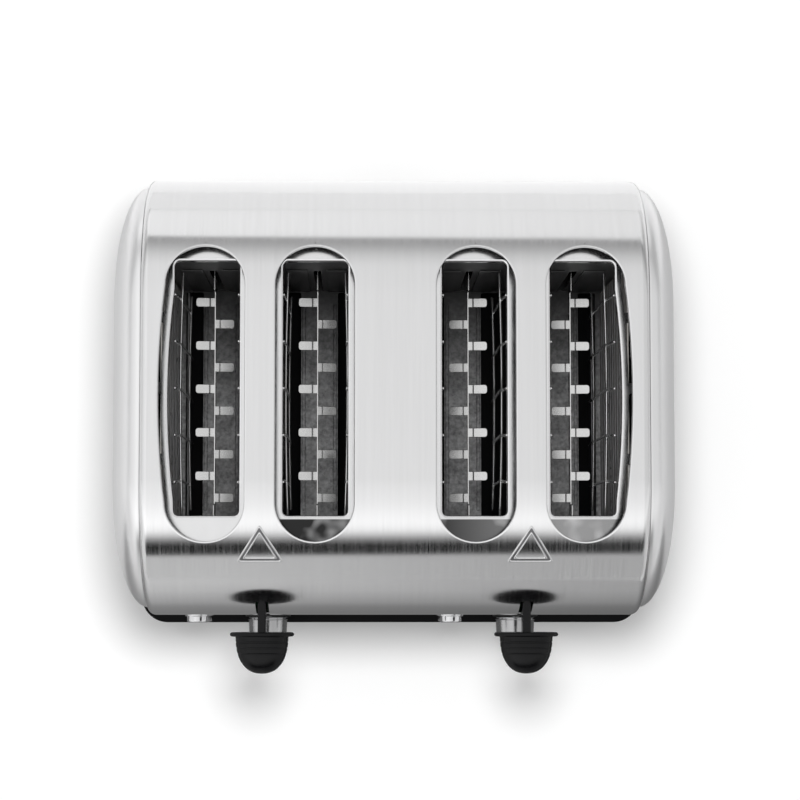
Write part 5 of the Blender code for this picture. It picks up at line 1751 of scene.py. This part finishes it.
def add_triangles():
    """A plain pressed triangle between the slots of each pair, with a dark strip between its two ridges as
    painted shade in its groove.
    """
    for side in ("left", "right"):
        x = middle(f"lever_handle_{side}").x
        half = TRIANGLE_RIDGE / 2
        ridges = [triangle_ridge(x, inset, half, TRIANGLE_RISE) for inset in (0, TRIANGLE_GAP)]
        add_piece(f"pressed_triangle_{side}", joined(ridges), "housing", "brushed_steel", sharp=60)
        # a dark strip between the ridges: painted shade in the groove
        groove = triangle_ridge(x, TRIANGLE_GAP / 2, TRIANGLE_GAP / 2, TRIANGLE_GROOVE_RISE)
        add_piece(f"triangle_painted_shade_{side}", groove, "housing", "wall_steel", sharp=60)


# Floor, light and camera
FLOOR_HALF = 3.0
FLOOR_COLOUR = (0.9, 0.9, 0.9)
FLOOR_ROUGH = (1.0, 1.0)
PIXELS = 800
SENSOR = 36.0
FOCAL_PIXELS = 2400
NADIR_PIXEL = (355, 575)  # where the point straight below the camera shows
CAMERA_HEIGHT = 1.224  # above the top of the shell
CAMERA_X = -0.0207
CAMERA_Y = -0.09575  # from the middle of the shell
SKY = (  # (degrees over the toaster from the front horizon, brightness)
    (0, 0.53),
    (23.5, 0.50),
    (24.5, 0.0),
    (34.5, 0.0),
    (39.5, 0.28),
    (43.5, 0.72),
    (48, 1.12),
    (54, 1.25),
    (73, 1.05),
    (88, 0.97),
    (93, 0.92),
    (110, 0.89),
    (124, 0.88),
    (133, 0.74),
    (139, 0.58),
    (145, 0.42),
    (150.5, 0.30),
    (151.5, 1.0),
    (180, 1.0),
)
SKY_BESIDE = (  # the same for directions well to the left or to the right
    (0, 0.8),
    (40, 1.0),
    (54, 1.25),
    (73, 1.05),
    (93, 0.92),
    (124, 0.88),
    (133, 0.74),
    (150, 0.40),
    (180, 0.60),
)
SKY_BESIDE_REACH = (0.45, 0.65)
SKY_PEAK = 1.25
SKY_SIDES = (  # (how far to the right a direction points, times as bright)
    (-1, 0.95),
    (-0.7, 1.05),
    (-0.5, 1.2),
    (0.5, 0.8),
    (1, 0.85),
)
SKY_SIDE_PEAK = 1.2
SKY_LEAN = 0.15  # the panels reach further over the toaster on the right
SKY_LEAN_REACH = 0.3
SKY_ON_MATT = 0.6  # the panels light matt surfaces less than they show in metal
LAMP_PLACE = (0, 0.05, 1.14)  # from the middle of the shell, and from the floor
LAMP_RADIUS = 0.115
LAMP_POWER = 28.5
FLOOR_GLOW = 0.125
CARD_LENGTH = 2.4
CARD_RISE = 1.1
CARD_HALF_WIDTH = 0.5
CARD_HEIGHT = 0.0005
CARD = (  # (distance in front of the shell, brightness)
    (0.05, 0.18),
    (0.124, 0.24),
    (0.18, 0.35),
    (0.275, 0.43),
    (0.45, 0.51),
    (0.96, 0.54),
)
CARD_SIDES = (1.3, 0.7)  # times as bright on the left and on the right
CARD_SIDE_REACH = 0.27
SIDE_CARD_LENGTH = 0.6
SIDE_CARD = ((0.0, 0.5), (0.066, 0.62), (0.13, 0.68), (0.3, 0.85), (0.6, 1.0))
SIDE_CARD_SIDES = (1.05, 0.8)
SIDE_CARD_BACK = 0.05  # how far they reach behind the shell
SIDE_CARD_GAP = 0.003
BACK_CARD_START = 0.25  # from the back of the shell
BACK_CARD = ((0.0, 0.97), (2.4, 0.97))


def add_floor():
    """A pale floor that shows white, with the toaster's shadow on it."""
    corners = [(x, y, 0) for x, y in corners_of((-FLOOR_HALF, FLOOR_HALF), (-FLOOR_HALF, FLOOR_HALF))]
    floor = linked("floor", bare_mesh((corners, [(0, 1, 2, 3)]), "floor"))
    made = Finish("pale_floor", FLOOR_COLOUR, FLOOR_ROUGH, Specular_IOR_Level=0.0, Emission_Color=WHITE)
    made.feed(made.inputs["Emission Strength"], made.seen_directly(FLOOR_GLOW))
    floor.data.materials.append(made.material)


def add_light():
    """A studio of soft panels round the toaster: brightness by the angle over it from the front."""
    world = bpy.context.scene.world or bpy.data.worlds.new("studio")
    bpy.context.scene.world = world
    studio = Nodes(world)
    studio.tree.nodes.clear()
    x, y, z = (studio.along(axis, "Generated") for axis in "XYZ")
    lean = studio.ranged(x, -SKY_LEAN_REACH, SKY_LEAN_REACH, SKY_LEAN - 1, -SKY_LEAN - 1)
    ahead = studio.calculated("MULTIPLY", y, lean)
    turn = studio.calculated("ARCTAN2", studio.calculated("ABSOLUTE", z), ahead)
    degrees = studio.calculated("DEGREES", turn)
    beside = studio.ranged(studio.calculated("ABSOLUTE", x), *SKY_BESIDE_REACH, 0, 1)
    panels = [studio.brightness(degrees, table, 0, 180, SKY_PEAK) for table in (SKY, SKY_BESIDE)]
    sides = studio.brightness(x, SKY_SIDES, -1, 1, SKY_SIDE_PEAK)
    peak = SKY_PEAK * SKY_SIDE_PEAK
    rays = studio.node("LightPath").outputs
    matt = studio.ranged(rays["Is Diffuse Ray"], 0, 1, peak, peak * SKY_ON_MATT)
    strength = studio.calculated("MULTIPLY", sides, matt)
    glow = studio.node("Background", Color=studio.mixed(beside, *panels), Strength=strength)
    choose = studio.node("MixShader", Fac=rays["Is Camera Ray"])
    for i, background in enumerate((glow, studio.node("Background")), 1):
        studio.feed(choose.inputs[i], background.outputs["Background"])
    studio.node("OutputWorld", Surface=choose.outputs["Shader"])


def add_lamp():
    """A round lamp overhead, a little to the back, for the shadow on the floor."""
    data = bpy.data.lights.new("overhead", "POINT")
    data.shadow_soft_size = LAMP_RADIUS
    data.energy = LAMP_POWER
    lamp = linked("overhead", data)
    lamp.location = (LAMP_PLACE[0], MIDDLE_Y + LAMP_PLACE[1], LAMP_PLACE[2])
    lamp.visible_glossy = False


def add_card(name, points, faces, axis, table, start, end, sides=(1, 1)):
    """A glowing grey card that shows in metal and nowhere else: a painted reflection, its brightness by the
    place along an axis.
    """
    card = linked(name, bare_mesh((points, faces), name))
    card.visible_camera = card.visible_diffuse = card.visible_shadow = False
    material = bpy.data.materials.new(name)
    made = Nodes(material)
    made.tree.nodes.clear()
    length = abs(end - start)
    distance = made.ranged(made.along(axis), start, end, 0, length)
    colour = made.brightness(distance, table, 0, length)
    strength = made.ranged(made.along("X"), -CARD_SIDE_REACH, CARD_SIDE_REACH, *sides)
    glow = made.node("Emission", Color=colour, Strength=strength)
    made.node("OutputMaterial", Surface=glow.outputs["Emission"])
    card.data.materials.append(material)


def level_card(name, x, y, *looks):
    """A card that lies on the floor between two pairs of places."""
    points = [(a, b, CARD_HEIGHT) for a, b in corners_of(x, y)]
    add_card(name, points, [(0, 1, 2, 3)], *looks)


def add_cards():
    """Glowing grey cards on the floor, painted reflections seen only in metal: one that also rises in front,
    one on either side and one behind.
    """
    front = PLINTH_LOW.y - CONTROL_GAP
    end, half = SHELL_LOW.y - CARD_LENGTH, CARD_HALF_WIDTH
    points = [(a, b, CARD_HEIGHT) for a, b in corners_of((-half, half), (front, end))]
    points += [(half, end, CARD_RISE), (-half, end, CARD_RISE)]
    faces = [(0, 3, 2, 1), (3, 5, 4, 2)]
    add_card("front_card", points, faces, "Y", CARD, SHELL_LOW.y, end, CARD_SIDES)
    for name, side in (("left_card", -1), ("right_card", 1)):
        start = side * (PLINTH_HIGH.x + SIDE_CARD_GAP)
        end = start + side * SIDE_CARD_LENGTH
        y = (front, SHELL_HIGH.y + SIDE_CARD_BACK)
        level_card(name, (start, end), y, "X", SIDE_CARD, start, end, SIDE_CARD_SIDES)
    start, end = SHELL_HIGH.y + BACK_CARD_START, SHELL_HIGH.y + BACK_CARD_START + CARD_LENGTH
    level_card("back_card", (-half, half), (start, end), "Y", BACK_CARD, start, end)


def add_camera():
    """The camera almost straight above the front edge of the slots, tipped a little to the back."""
    data = bpy.data.cameras.new("camera")
    camera = linked("camera", data)
    bpy.context.scene.camera = camera
    data.sensor_width = SENSOR
    data.lens = SENSOR * FOCAL_PIXELS / PIXELS
    half = PIXELS / 2
    down = Vector((NADIR_PIXEL[0] - half, NADIR_PIXEL[1] - half, FOCAL_PIXELS)).normalized()
    across = (Vector((1, 0, 0)) - down * down.x).normalized()
    back = (-down).cross(across)
    right, below, ahead = (Vector((across[k], back[k], -down[k])) for k in range(3))
    turn = Matrix((right, -below, -ahead)).transposed()
    place = Vector((CAMERA_X, MIDDLE_Y + CAMERA_Y, SHELL_TOP + CAMERA_HEIGHT))
    camera.matrix_world = Matrix.Translation(place) @ turn.to_4x4()
    data.clip_end = 2 * FLOOR_HALF


def build():
    """Every piece of the toaster, then its surroundings."""
    dress_shell()
    dress_end_cap("end_cap_left", -1)
    dress_end_cap("end_cap_right", 1)
    dress_plinth()
    dress_gland()
    dress_feet()
    for pair, side in enumerate(("left", "right")):
        slots = SLOT_XS[2 * pair:2 * pair + 2]
        dress_top_plate(side, slots)
        for end in ("front", "back"):
            dress_wall(side, end, slots)
        dress_floor(side, slots)
        dress_lever(side)
        dress_knob(side)
        for name in BUTTONS:
            dress_button(name, side)
        dress_spring(side)
        dress_rod(side)
        dress_magnet(side)
        for node, edge in EASED_EDGES.items():
            keep_node(f"{node}_{side}", edge)
    for number in range(1, HEATING_BOARDS + 1):
        dress_heating_board(number)
    dress_guards()
    dress_carriages()
    add_triangles()
    add_floor()
    add_light()
    add_lamp()
    add_cards()
    add_camera()
    bpy.context.scene.view_settings.view_transform = "Standard"


build()
